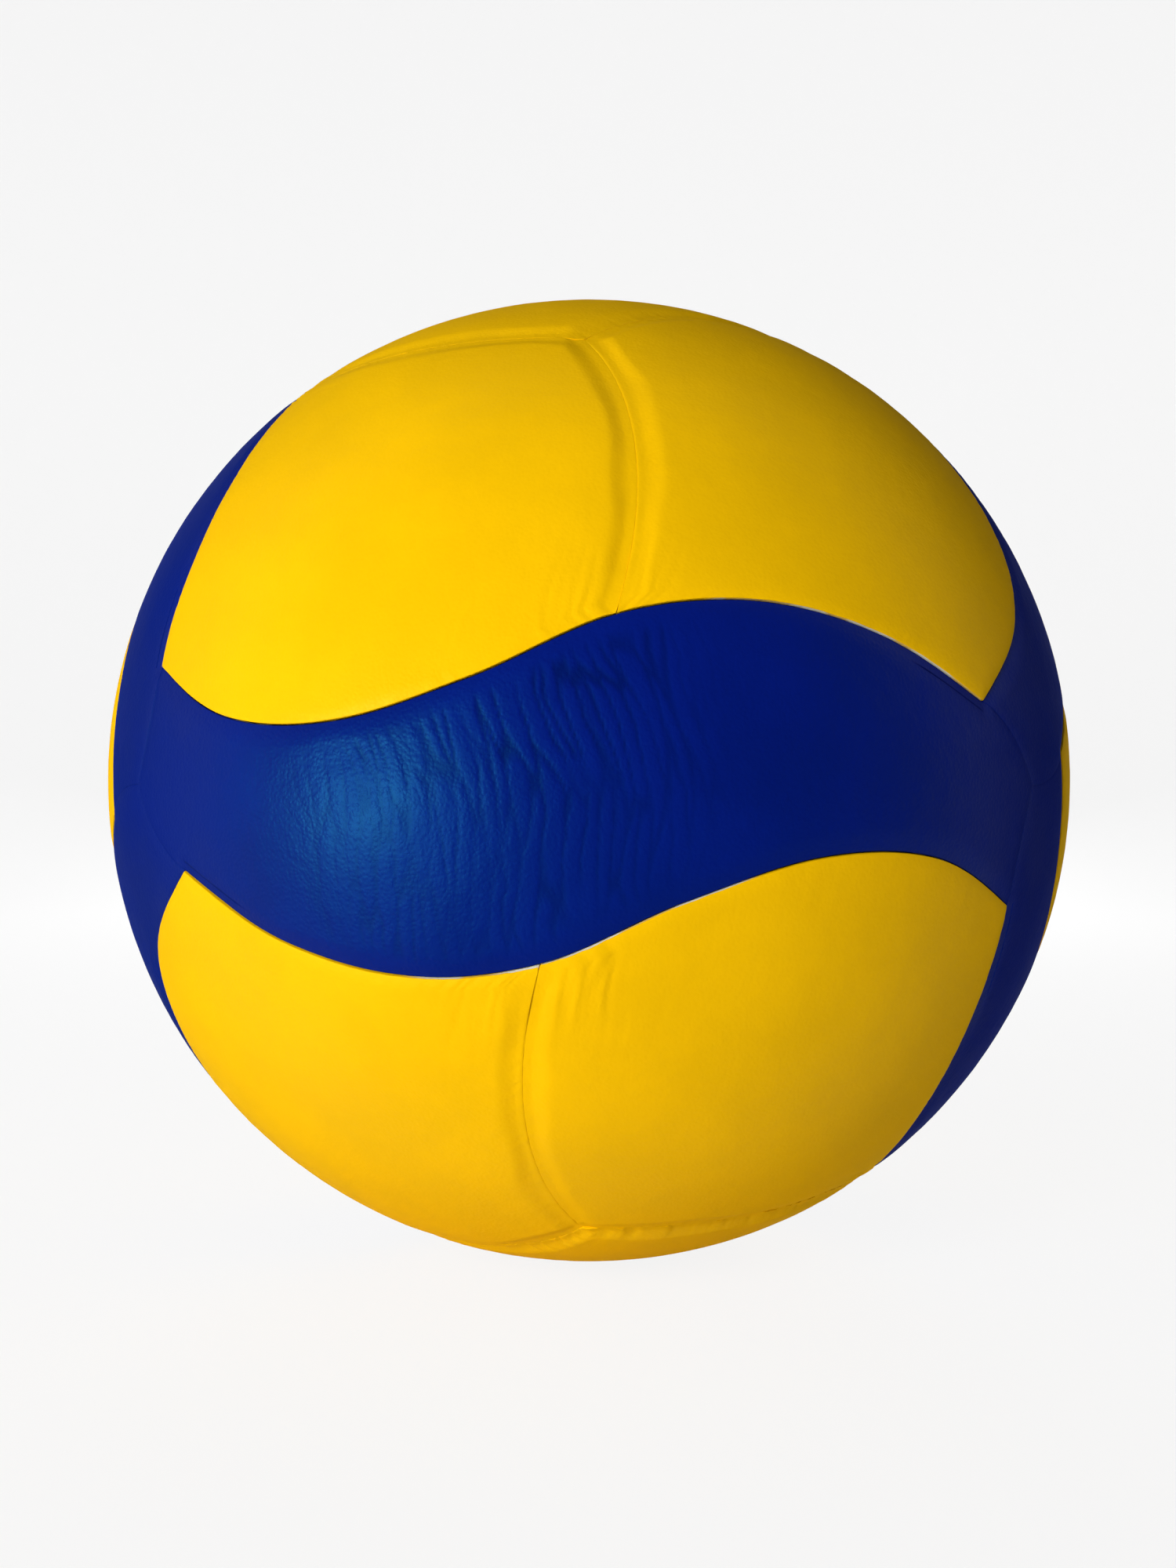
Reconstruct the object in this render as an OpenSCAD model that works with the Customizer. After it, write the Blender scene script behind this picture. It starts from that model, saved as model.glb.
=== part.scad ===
// Moulded volleyball of 18 cover panels: 6 wavy blue bands and 12 yellow panels.
//
// The panels follow the turns of a regular tetrahedron. A blue band lies along each of its
// six edges, and three bands meet at each corner. Each of its four faces holds three yellow
// panels, which meet in the middle of the face. Every panel is a turned copy of one blue
// band or of one yellow panel.
//
// The origin is the centre of the ball, +Z is up, and the band called front looks along -Y.
// Lengths are in millimetres. Places on the ball are angles in degrees, seen from its centre:
// azimuth to the right of the front, and elevation above the middle.

/* [Ball] */
// Outside diameter of the inflated ball
ball_d = 210; // [190:0.5:220]
// Thickness of the grained cover
cover_t = 1.4; // [1.2:0.1:1.8]
// Thickness of the foam backing under each cover panel
foam_t = 1.6; // [1:0.1:2.5]
// Thickness of the moulded rubber carcass
carcass_t = 2; // [1:0.1:3.5]
// Thickness of the wound nylon thread
winding_t = 0.8; // [0.5:0.1:1.5]
// Thickness of the butyl bladder
bladder_t = 0.8; // [0.5:0.1:1.5]
// Glue line between one layer and the next
glue_t = 0.1; // [0.05:0.01:0.15]

/* [Seams] */
// Gap between two cover panels at the bottom of a seam
seam_gap = 0.4; // [0.2:0.05:0.8]
// Gap between two foam backings
foam_gap = 0.2; // [0.1:0.05:0.6]
// Width of a panel's margin that rolls down into the seam beside a blue band
roll_w = 1.7; // [1.2:0.1:2.5]
// Width of a yellow panel's margin that rolls down into the groove beside another yellow panel
groove_w = 4.4; // [2:0.1:6]
// Depth of the seams below the ball's surface
roll_depth = 0.6; // [0.3:0.05:1.1]

/* [Panel outlines] */
// Distance of a yellow panel's tip from the corner where three bands meet, in degrees
tip_reach = 12.7; // [11:0.1:15]
// Direction of that tip, turned up from the line to the band's middle, in degrees
tip_turn = 76.7; // [72:0.1:80]
// Least height of a band's long edge above its centre line, in degrees
trough_height = 6.4; // [5:0.1:8]
// Greatest height of a band's long edge above its centre line, in degrees
crest_height = 18; // [16:0.1:20]
// Sideways bow of the seam between two yellow panels, in degrees
yellow_bow = 3.4; // [1:0.1:5]
// Sideways bow of the seam between two blue bands, in degrees
blue_bow = 0.9; // [0:0.1:2]

/* [Valve] */
// Diameter of the needle hole
needle_d = 2; // [1.8:0.1:2.4]
// Depth of the needle hole
needle_depth = 16; // [10:1:20]
// Diameter of the soft valve core
core_d = 5.2; // [4:0.1:6]
// Diameter of the core's collar at the surface
collar_d = 6.6; // [6.2:0.1:7.2]
// Height of the core's collar
collar_h = 1.6; // [1:0.1:2.5]
// Diameter of the valve neck that shows in the cover
neck_d = 9; // [8:0.1:11]
// Depth of the valve's face below the ball's surface
face_depth = 0.7; // [0.3:0.1:1]
// Diameter of the stem inside the bladder
stem_d = 11; // [9:0.1:13]
// Length of the stem inside the bladder
stem_l = 18; // [16:0.5:24]
// Diameter of the flange that is bonded to the patch
flange_d = 30; // [24:1:36]
// Thickness of the flange
flange_t = 1.5; // [1:0.1:2]
// Diameter of the reinforcing patch
patch_d = 44; // [38:1:56]
// Thickness of the reinforcing patch
patch_t = 0.9; // [0.6:0.1:1.5]
// Clearance round the neck in each layer that it passes through
neck_gap = 0.2; // [0.1:0.05:0.4]
// Clearance round the valve core in its seat
core_gap = 0.05; // [0.02:0.01:0.1]

/* [Hidden] */
ball_r = ball_d / 2;
cover_in = ball_r - cover_t;
foam_out = cover_in - glue_t;
foam_in = foam_out - foam_t;
carcass_out = foam_in - glue_t;
carcass_in = carcass_out - carcass_t;
winding_out = carcass_in - glue_t;
winding_in = winding_out - winding_t;
bladder_out = winding_in - glue_t;
bladder_in = bladder_out - bladder_t;
patch_out = bladder_in - glue_t;
patch_in = patch_out - patch_t;
flange_out = patch_in - glue_t;
flange_in = flange_out - flange_t;
stem_end = flange_in - stem_l;
valve_face = ball_r - face_depth;

// Heights of the places along a long edge, from the trough at 0 to the crest at 1
edge_height_shares = [0.04, 0, 0.35, 0.87, 1, 0.75];
// Place along a long edge where the yellow seam meets it
seam_place_share = 0.57;
// Steps of the rolled margin: shares of its width beside a blue band, of its width beside
// another yellow panel, and of its depth
roll_shares = [[0, 0, 1], [0.12, 0.5, 0.7], [0.4, 0.8, 0.25], [1.25, 1.2, -0.12]];
// Reach of a panel's cutting cone, as a share of the ball's radius
cone_share = 1.3;
// Small step along an edge that gives its direction, as a share of the edge
step_share = 0.002;

// Straight pieces that a long edge, half a long edge and a seam are cut into
edge_pieces = 28;
half_edge_pieces = 14;
seam_pieces = 14;
short_seam_pieces = 5;
sphere_fn = 180;
round_fn = 64;

blue = [0.03, 0.12, 0.5];
yellow = [0.98, 0.72, 0.05];
foam_colour = [0.93, 0.9, 0.8];
carcass_colour = [0.16, 0.16, 0.17];
winding_colour = [0.88, 0.88, 0.85];
bladder_colour = [0.1, 0.1, 0.1];
valve_colour = [0.75, 0.74, 0.7];
core_colour = [0.3, 0.3, 0.3];

// Corner where three blue bands meet, left of the front, and the middle of the upper front face
corner_azimuth = -acos(1 / sqrt(3));
face_elevation = acos(1 / sqrt(3));
left_corner = place(corner_azimuth, 0);
face_middle = place(0, face_elevation);
front = place(0, 0);

third_turn = 120;
half_turn = 180;
// Axes of the half turns that carry the upper front face to the other three faces
half_turn_axes = [[0, 1, 0], [1, 0, 1], [-1, 0, 1]];

// Each panel: its name, the half turn that places it (-1 for none), and its third turns before that
BLUE_PANELS = [
    ["blue_front", -1, 0], ["blue_upper_right", -1, 1], ["blue_upper_left", -1, 2],
    ["blue_lower_left", 0, 1], ["blue_lower_right", 0, 2], ["blue_rear", 1, 0]
];
YELLOW_PANELS = [
    ["yellow_upper_left", -1, 0], ["yellow_upper_right", -1, 1], ["yellow_upper_rear", -1, 2],
    ["yellow_lower_right", 0, 0], ["yellow_lower_left", 0, 1], ["yellow_lower_rear", 0, 2],
    ["yellow_right_bottom", 1, 0], ["yellow_right_top", 1, 1], ["yellow_right_front", 1, 2],
    ["yellow_left_top", 2, 0], ["yellow_left_bottom", 2, 1], ["yellow_left_front", 2, 2]
];
valve_panel = "blue_rear";

// Places on the unit sphere

function unit(v) = v / norm(v);
function mix(a, b, t) = a * (1 - t) + b * t;
function place(azimuth, elevation) =
    [sin(azimuth) * cos(elevation), -cos(azimuth) * cos(elevation), sin(elevation)];
function azimuth_of(p) = atan2(p[0], -p[1]);
function elevation_of(p) = asin(p[2] / norm(p));

// A point turned about an axis by the right-hand rule
function turned(p, axis, angle) =
    p * cos(angle) + cross(axis, p) * sin(angle) + axis * (axis * p) * (1 - cos(angle));

// The point at a given distance from p, in a direction turned from the way to q
function reached(p, q, turn, reach) =
    let (ahead = unit(q - p * (p * q)), along = turned(ahead, p, turn))
    p * cos(reach) + along * sin(reach);

// A place on the arc from p to q, pushed sideways to the right by up to the bow in its middle
function bowed(p, q, bow, t) =
    let (side = unit(cross(q, p)), whole = acos(p * q))
    let (arc = (p * sin(whole * (1 - t)) + q * sin(whole * t)) / sin(whole))
    let (push = bow * 4 * t * (1 - t))
    arc * cos(push) + side * sin(push);

// A smooth curve through evenly spaced heights, each stretch a cubic set by its neighbours
function height_at(heights, t) =
    let (last = len(heights) - 1, k = min(floor(t * last), last - 1), f = t * last - k)
    let (b = heights[k], c = heights[k + 1])
    let (a = k > 0 ? heights[k - 1] : 2 * b - c)
    let (d = k < last - 1 ? heights[k + 2] : 2 * c - b)
    b + f * (c - a + f * (2 * a - 5 * b + 4 * c - d + f * (3 * (b - c) + d - a))) / 2;

// Corners and edges of the front band and of the yellow panel above its left half

left_tip = reached(left_corner, front, tip_turn, tip_reach);
lower_tip = reached(left_corner, front, tip_turn - third_turn, tip_reach);
right_tip = turned(lower_tip, front, half_turn);
edge_heights = concat(
    [elevation_of(left_tip)],
    [for (s = edge_height_shares) mix(trough_height, crest_height, s)],
    [elevation_of(right_tip)]
);

function long_edge(t) =
    place(mix(azimuth_of(left_tip), azimuth_of(right_tip), t), height_at(edge_heights, t));
function yellow_seam(t) = bowed(long_edge(seam_place_share), face_middle, yellow_bow, t);
function blue_seam(t) = bowed(left_corner, left_tip, blue_bow, t);
function lower_blue_seam(t) = turned(blue_seam(t), left_corner, -third_turn);

// Sides of each panel, counter-clockwise seen from outside. A side is a number that these
// functions take, so that points can be asked for anywhere along it.

function blue_side(i, t) =
    i == 0 ? lower_blue_seam(t)
    : i == 1 ? turned(long_edge(1 - t), front, half_turn)
    : i == 2 ? turned(blue_seam(1 - t), front, half_turn)
    : i == 3 ? turned(lower_blue_seam(t), front, half_turn)
    : i == 4 ? long_edge(1 - t)
    : blue_seam(1 - t);

function yellow_side(i, t) =
    i == 0 ? long_edge(t * seam_place_share)
    : i == 1 ? yellow_seam(t)
    : i == 2 ? turned(yellow_seam(1 - t), face_middle, -third_turn)
    : turned(long_edge(mix(seam_place_share, 1, t)), face_middle, -third_turn);

blue_pieces = [
    short_seam_pieces, edge_pieces, short_seam_pieces,
    short_seam_pieces, edge_pieces, short_seam_pieces
];
yellow_pieces = [half_edge_pieces, seam_pieces, seam_pieces, half_edge_pieces];

function side_point(kind, i, t) = kind == "blue" ? blue_side(i, t) : yellow_side(i, t);
function side_pieces(kind) = kind == "blue" ? blue_pieces : yellow_pieces;

// Unit vector that points into the panel, square to its side
function inward(kind, i, t) =
    let (u = min(t, 1 - step_share), p = side_point(kind, i, u))
    unit(cross(p, side_point(kind, i, u + step_share) - p));

// How far a corner moves when the sides before and after it move in by a and b
function corner_shift(into_before, into_after, a, b) =
    let (c = into_before * into_after)
    (into_before * (a - b * c) + into_after * (b - a * c)) / (1 - c * c);

// A panel's outline with each side moved in by its own distance, on the sphere of radius r
function outline(kind, insets, r) =
    let (pieces = side_pieces(kind), sides = len(pieces), d = insets / ball_r)
    [
        for (i = [0 : sides - 1])
            let (before = (i + sides - 1) % sides, after = (i + 1) % sides)
            let (into_start = inward(kind, i, 0), into_end = inward(kind, i, 1))
            let (start = corner_shift(inward(kind, before, 1), into_start, d[before], d[i]))
            let (end = corner_shift(into_end, inward(kind, after, 0), d[i], d[after]))
            let (length = norm(side_point(kind, i, 0) - side_point(kind, i, 1)))
            let (skip = norm(start - d[i] * into_start) / length)
            let (stop = 1 - norm(end - d[i] * into_end) / length)
            for (k = [0 : pieces[i] - 1])
                let (t = mix(skip, stop, k / pieces[i]))
                r * unit(k == 0
                    ? side_point(kind, i, 0) + start
                    : side_point(kind, i, t) + d[i] * inward(kind, i, t))
    ];

// Distance from each side of a panel to one step of its rolled margin
function margins(kind, step) =
    let (beside_blue = step[0] * roll_w, beside_yellow = step[1] * groove_w)
    kind == "blue"
    ? all_round(kind, beside_blue)
    : [beside_blue, beside_yellow, beside_yellow, beside_blue];

// One distance for every side of a panel
function all_round(kind, distance) = [for (side = side_pieces(kind)) distance];

// Faces between two rings of n points each, the second ring the outer one
function ring_faces(first, second, n) = [
    for (k = [0 : n - 1])
        let (next = (k + 1) % n)
        each [
            [first + k, second + k, second + next],
            [first + k, second + next, first + next]
        ]
];

// Faces across a ring, as rungs between its two halves
function rung_faces(first, n) = [
    for (k = [0 : n / 2 - 1])
        let (a = first + k, b = first + k + 1)
        let (c = first + n - k - 1, d = first + (n - k) % n)
        each concat(
            k < n / 2 - 1 ? [[a, c, b]] : [],
            k > 0 ? [[a, d, c]] : []
        )
];

// A cone from the ball's centre through a panel's outline, in rings of [insets, radius]
module cone(kind, rings) {
    loops = [for (ring = rings) outline(kind, ring[0], ring[1])];
    n = len(loops[0]);
    last = len(rings) - 1;
    polyhedron(
        points = concat([[0, 0, 0]], [for (loop = loops) each loop]),
        faces = concat(
            [for (k = [0 : n - 1]) [0, 1 + k, 1 + (k + 1) % n]],
            [for (i = [0 : 1 : last - 1]) each ring_faces(1 + i * n, 1 + (i + 1) * n, n)],
            rung_faces(1 + last * n, n)
        )
    );
}

module ball(r) sphere(r = r, $fn = sphere_fn);

module shell(outer, inner) {
    difference() {
        ball(outer);
        ball(inner);
    }
}

// A cylinder along the valve's axis, which is +Y, from one distance to another
module along_valve(d, from, to) {
    rotate([-90, 0, 0])
        translate([0, 0, from])
            cylinder(d = d, h = to - from, $fn = round_fn);
}

module neck_hole() along_valve(neck_d + 2 * neck_gap, stem_end, ball_r + cover_t);

// Carries a panel from the upper front face to its own place
module placed(panel) {
    axis = half_turn_axes[max(panel[1], 0)];
    rotate(a = panel[1] < 0 ? 0 : half_turn, v = axis)
        rotate(a = third_turn * panel[2], v = face_middle)
            children();
}

module cover_blank(kind) {
    edge = all_round(kind, seam_gap / 2);
    rings = [
        for (step = roll_shares) [edge + margins(kind, step), ball_r - step[2] * roll_depth]
    ];
    top_insets = rings[len(rings) - 1][0];
    difference() {
        intersection() {
            ball(ball_r);
            cone(kind, concat(rings, [[top_insets, ball_r * cone_share]]));
        }
        ball(cover_in);
    }
}

module foam_blank(kind) {
    difference() {
        intersection() {
            ball(foam_out);
            cone(kind, [[all_round(kind, foam_gap / 2), ball_r * cone_share]]);
        }
        ball(foam_in);
    }
}

// A placed panel, with the neck's hole in the one that carries the valve
module fitted(panel) {
    if (panel[0] == valve_panel) {
        difference() {
            placed(panel) children();
            neck_hole();
        }
    } else {
        placed(panel) children();
    }
}

module cover(kind, panel) {
    color(kind == "blue" ? blue : yellow)
        fitted(panel) cover_blank(kind);
}

module foam(kind, panel) {
    color(foam_colour)
        fitted(panel) foam_blank(kind);
}

module pierced_shell(outer, inner) {
    difference() {
        shell(outer, inner);
        neck_hole();
    }
}

module carcass() color(carcass_colour) pierced_shell(carcass_out, carcass_in);
module winding() color(winding_colour) pierced_shell(winding_out, winding_in);
module bladder() color(bladder_colour) pierced_shell(bladder_out, bladder_in);

// A round disc cut from a shell, on the valve's axis
module curved_disc(d, outer, inner) {
    intersection() {
        shell(outer, inner);
        along_valve(d, inner / 2, outer * 2);
    }
}

module valve_patch() {
    color(carcass_colour)
        difference() {
            curved_disc(patch_d, patch_out, patch_in);
            neck_hole();
        }
}

module valve_body() {
    color(valve_colour)
        difference() {
            union() {
                along_valve(neck_d, flange_in, valve_face);
                curved_disc(flange_d, flange_out, flange_in);
                along_valve(stem_d, stem_end, flange_in);
            }
            along_valve(core_d + 2 * core_gap, stem_end - stem_d, ball_r);
            along_valve(collar_d + 2 * core_gap, valve_face - collar_h - core_gap, ball_r);
        }
}

module valve_core() {
    color(core_colour)
        difference() {
            union() {
                along_valve(core_d, stem_end, valve_face - collar_h / 2);
                along_valve(collar_d, valve_face - collar_h, valve_face);
            }
            along_valve(needle_d, valve_face - needle_depth, ball_r);
        }
}

for (p = BLUE_PANELS) cover("blue", p);
for (p = YELLOW_PANELS) cover("yellow", p);
for (p = BLUE_PANELS) foam("blue", p);
for (p = YELLOW_PANELS) foam("yellow", p);
carcass();
winding();
bladder();
valve_patch();
valve_body();
valve_core();
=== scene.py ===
"""A moulded training volleyball: wavy blue bands and yellow panels in grained leather.

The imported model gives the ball's size, its layers and its valve. This script models each
cover panel again as a fine surface with rolled margins, cut edges, creases and soft dents,
models the valve, gives every layer its finish, and sets a plain studio round the ball.

The panels follow the turns of a regular tetrahedron, so there are only two shapes: one
blue band and one yellow panel. Each is worked out once, in front of or above the front of
the ball, and then turned to its place. Lengths are in metres and the front looks along -Y.
"""

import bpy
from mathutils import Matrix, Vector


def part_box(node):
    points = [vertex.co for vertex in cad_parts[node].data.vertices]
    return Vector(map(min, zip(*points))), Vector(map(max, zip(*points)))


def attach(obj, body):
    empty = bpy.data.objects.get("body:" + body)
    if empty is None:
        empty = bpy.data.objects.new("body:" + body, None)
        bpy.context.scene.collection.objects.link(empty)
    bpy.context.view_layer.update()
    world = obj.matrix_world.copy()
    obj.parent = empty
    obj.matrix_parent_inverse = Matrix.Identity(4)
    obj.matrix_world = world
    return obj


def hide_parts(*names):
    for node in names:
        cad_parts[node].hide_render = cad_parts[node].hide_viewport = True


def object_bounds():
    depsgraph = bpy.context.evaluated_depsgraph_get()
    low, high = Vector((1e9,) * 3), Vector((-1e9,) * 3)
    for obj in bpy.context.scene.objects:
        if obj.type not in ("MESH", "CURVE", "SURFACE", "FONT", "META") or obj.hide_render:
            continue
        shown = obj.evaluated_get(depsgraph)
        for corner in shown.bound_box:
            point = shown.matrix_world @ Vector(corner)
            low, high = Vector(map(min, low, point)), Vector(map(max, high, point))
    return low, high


bl_info = {
    "name": "Volleyball",
    "version": (1, 0, 0),
    "blender": (4, 5, 0),
    "location": "View3D > Sidebar > Volleyball",
    "description": "Models the covers, valve and layers of a volleyball round its packed model",
    "category": "Object",
}

import math
from types import SimpleNamespace

import bpy
import numpy as np
from bpy.props import FloatProperty, FloatVectorProperty, IntProperty, PointerProperty
from mathutils import Matrix, Vector

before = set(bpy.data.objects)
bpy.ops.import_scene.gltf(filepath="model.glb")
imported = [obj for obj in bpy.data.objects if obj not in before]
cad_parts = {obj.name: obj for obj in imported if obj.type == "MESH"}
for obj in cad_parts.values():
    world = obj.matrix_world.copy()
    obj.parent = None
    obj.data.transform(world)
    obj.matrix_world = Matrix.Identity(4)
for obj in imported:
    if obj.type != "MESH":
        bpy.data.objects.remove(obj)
CAD_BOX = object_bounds()

MM = 0.001
BODY = "root"

# Each panel: its name, its half turn (None for none) and its third turns before that
BLUE_PANELS = (
    ("blue_front", None, 0),
    ("blue_upper_right", None, 1),
    ("blue_upper_left", None, 2),
    ("blue_lower_left", 0, 1),
    ("blue_lower_right", 0, 2),
    ("blue_rear", 1, 0),
)
YELLOW_PANELS = (
    ("yellow_upper_left", None, 0),
    ("yellow_upper_right", None, 1),
    ("yellow_upper_rear", None, 2),
    ("yellow_lower_right", 0, 0),
    ("yellow_lower_left", 0, 1),
    ("yellow_lower_rear", 0, 2),
    ("yellow_right_bottom", 1, 0),
    ("yellow_right_top", 1, 1),
    ("yellow_right_front", 1, 2),
    ("yellow_left_top", 2, 0),
    ("yellow_left_bottom", 2, 1),
    ("yellow_left_front", 2, 2),
)
HALF_TURN_AXES = ((0, 1, 0), (1, 0, 1), (-1, 0, 1))
VALVE_PANEL = "blue_rear"

# Stretches of a yellow panel's side where its pale cut edge shows: side, from, to, share
PALE_STRETCHES = {
    "yellow_upper_right": ((3, 0.25, 1.0, 0.35),),
    "yellow_lower_right": ((0, 0.66, 1.0, 0.35),),
    "yellow_lower_left": ((3, 0.0, 0.1, 1.0), (3, 0.1, 0.3, 0.2)),
    "yellow_upper_left": ((3, 0.1, 0.95, 0.3),),
    "yellow_right_front": ((0, 0.3, 0.6, 0.4),),
    "yellow_left_top": ((3, 0.4, 0.8, 0.5),),
    "yellow_upper_rear": ((0, 0.5, 0.8, 0.4),),
    "yellow_right_bottom": ((0, 0.1, 0.4, 0.5),),
    "yellow_left_bottom": ((3, 0.2, 0.6, 0.4),),
}

# The groove side of a yellow panel that is hardly sunk
SHALLOW_GROOVES = {
    "yellow_upper_left": 2,
    "yellow_upper_rear": 1,
    "yellow_right_top": 1,
    "yellow_right_front": 2,
}

# Depth of a yellow panel's folds as shares of the crease depth: puckers lie in its
# grooves, and gathers at the ends of its grooves
USUAL_FOLDS = {"puckers": 0.35, "gathers": 0.75}
DEEPER_FOLDS = {
    "yellow_lower_rear": {"puckers": 2.3},
    "yellow_left_top": {"puckers": 2.3},
    "yellow_lower_right": {"gathers": 1.9},
    "yellow_right_bottom": {"gathers": 1.9},
}

# Valve sizes: those that its boxes give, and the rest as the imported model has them
VALVE_BODY_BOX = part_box("valve_body")
VALVE_CORE_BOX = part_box("valve_core")
FLANGE_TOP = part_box("valve_patch")[0][1]
VALVE_FACE = VALVE_BODY_BOX[1][1]
STEM_END = VALVE_BODY_BOX[0][1]
COLLAR_RADIUS = (VALVE_CORE_BOX[1][0] - VALVE_CORE_BOX[0][0]) / 2
FLANGE_RADIUS = (VALVE_BODY_BOX[1][0] - VALVE_BODY_BOX[0][0]) / 2
NECK_RADIUS = 4.5 * MM
NECK_GAP = 0.2 * MM
VALVE_HOLE = NECK_RADIUS + NECK_GAP
CORE_RADIUS = 2.6 * MM
CORE_GAP = 0.05 * MM
COLLAR_HEIGHT = 1.6 * MM
STEM_RADIUS = 5.5 * MM
NEEDLE_RADIUS = 1.0 * MM
NEEDLE_DEPTH = 16 * MM
# How far below the flange's top its neck, its rim and its stem begin, and below the face
# the funnel that leads the needle in
NECK_SETBACK = 0.2 * MM
RIM_SETBACK = 1.4 * MM
RIM_HEIGHT = 1.2 * MM
STEM_SETBACK = 1.6 * MM
FUNNEL_START = 0.1 * MM
FUNNEL_END = 0.8 * MM


# Settings that a user would change


def number_property(name, text, value):
    """A plain number."""
    return FloatProperty(name=name, description=text, default=value)


def length_property(name, text, metres):
    """A length in metres."""
    return FloatProperty(name=name, description=text, default=metres, subtype="DISTANCE")


def angle_property(name, text, degrees):
    """An angle, kept in radians."""
    return FloatProperty(
        name=name, description=text, default=math.radians(degrees), subtype="ANGLE"
    )


def share_property(name, text, share):
    """A share from 0 to 1."""
    return FloatProperty(name=name, description=text, default=share, subtype="FACTOR")


def power_property(name, text, watts):
    """A lamp's power in watts."""
    return FloatProperty(name=name, description=text, default=watts, unit="POWER")


def count_property(name, text, count):
    """A whole number."""
    return IntProperty(name=name, description=text, default=count)


def colour_property(name, text, *light):
    """A colour as linear red, green and blue light."""
    return FloatVectorProperty(
        name=name, description=text, size=3, subtype="COLOR", default=light
    )


class BallSizes(bpy.types.PropertyGroup):
    """Sizes of the ball and of its cover."""

    radius: length_property(
        "Radius", "Outside radius of the ball", (CAD_BOX[1][0] - CAD_BOX[0][0]) / 2
    )
    cover_thickness: length_property("Cover thickness", "Thickness of the grained cover", 1.4 * MM)
    blue_columns: count_property("Blue columns", "Faces along the long side of a blue band", 450)
    yellow_columns: count_property(
        "Yellow columns", "Twice the faces along the long side of a yellow panel", 350
    )
    quick_share: share_property("Quick share", "Share of those faces that a quick look has", 0.5)


class PanelOutline(bpy.types.PropertyGroup):
    """Angles that set the outline of the panels, seen from the ball's centre."""

    tip_reach: angle_property(
        "Tip reach", "Distance of a yellow tip from the corner where three bands meet", 12.7
    )
    tip_turn: angle_property(
        "Tip turn", "Direction of that tip, turned up from the line to the band's middle", 76.7
    )
    trough_height: angle_property(
        "Trough height", "Least height of a band's long edge above its centre line", 6.4
    )
    crest_height: angle_property(
        "Crest height", "Greatest height of a band's long edge above its centre line", 18
    )
    yellow_bow: angle_property(
        "Yellow seam bow", "Sideways bow of the seam between two yellow panels", 3.4
    )
    blue_bow: angle_property(
        "Blue seam bow", "Sideways bow of the seam between two blue bands", 0.9
    )
    seam_place: share_property(
        "Seam place",
        "Place along a band's long edge where the yellow seam meets it, as a share",
        0.57,
    )


class SeamLook(bpy.types.PropertyGroup):
    """How the panels' margins roll down and meet."""

    colour_gap: length_property(
        "Colour seam gap", "Gap between a blue and a yellow panel", 0.2 * MM
    )
    like_gap: length_property("Like seam gap", "Gap between two panels of one colour", 0.004 * MM)
    blue_margin: length_property(
        "Blue margin", "Width of a blue panel's rolled margin beside a yellow panel", 4.2 * MM
    )
    blue_drop: length_property(
        "Blue drop", "Depth of a blue panel's edge beside a yellow panel", 0.55 * MM
    )
    band_margin: length_property(
        "Band margin", "Width of a blue panel's rolled margin beside another blue panel", 2.4 * MM
    )
    band_drop: length_property("Band drop", "Depth of the seam between two blue panels", 0.16 * MM)
    yellow_margin: length_property(
        "Yellow margin", "Width of a yellow panel's rolled margin beside a blue panel", 2.2 * MM
    )
    yellow_drop: length_property(
        "Yellow drop", "Depth of a yellow panel's edge beside a blue panel", 0.28 * MM
    )
    groove_floor: length_property(
        "Groove floor",
        "Half the width of the flat floor of the groove between two yellow panels",
        1.2 * MM,
    )
    groove_margin: length_property(
        "Groove margin", "Half the width of that groove at the ball's surface", 5.0 * MM
    )
    groove_depth: length_property("Groove depth", "Depth of that groove", 0.82 * MM)
    groove_step: length_property(
        "Groove step", "Height of one panel's edge over the other's in the groove", 0.1 * MM
    )
    line_width: length_property(
        "Line width", "Width of the soft slope where two panels of one colour meet", 0.5 * MM
    )
    line_depth: length_property(
        "Line depth", "Depth of that slope between two blue panels", 0.06 * MM
    )
    edge_round: length_property(
        "Edge rounding", "Radius of the round at a panel's cut edge", 0.14 * MM
    )
    pale_bevel: length_property("Pale bevel", "Width of the cut edge where it shows most", 0.3 * MM)


class LeatherLook(bpy.types.PropertyGroup):
    """Creases, dents and grain of the cover."""

    blue_crease: length_property(
        "Blue crease depth", "Depth of the creases across a blue band", 0.145 * MM
    )
    yellow_crease: length_property(
        "Yellow crease depth", "Depth of the creases at a yellow panel's edges", 0.17 * MM
    )
    crease_spacing: length_property(
        "Crease spacing", "Usual distance from one crease to the next", 2.6 * MM
    )
    crease_middle: length_property(
        "Crease middle", "Place along a band round which its creases gather", -12 * MM
    )
    crease_spread: length_property(
        "Crease spread", "Distance from there at which the creases fade", 34 * MM
    )
    dent_depth: length_property(
        "Dent depth", "Depth of the soft dents all over the cover", 0.05 * MM
    )
    grain_size: length_property("Grain size", "Size of one pebble of the grain", 0.75 * MM)


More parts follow.
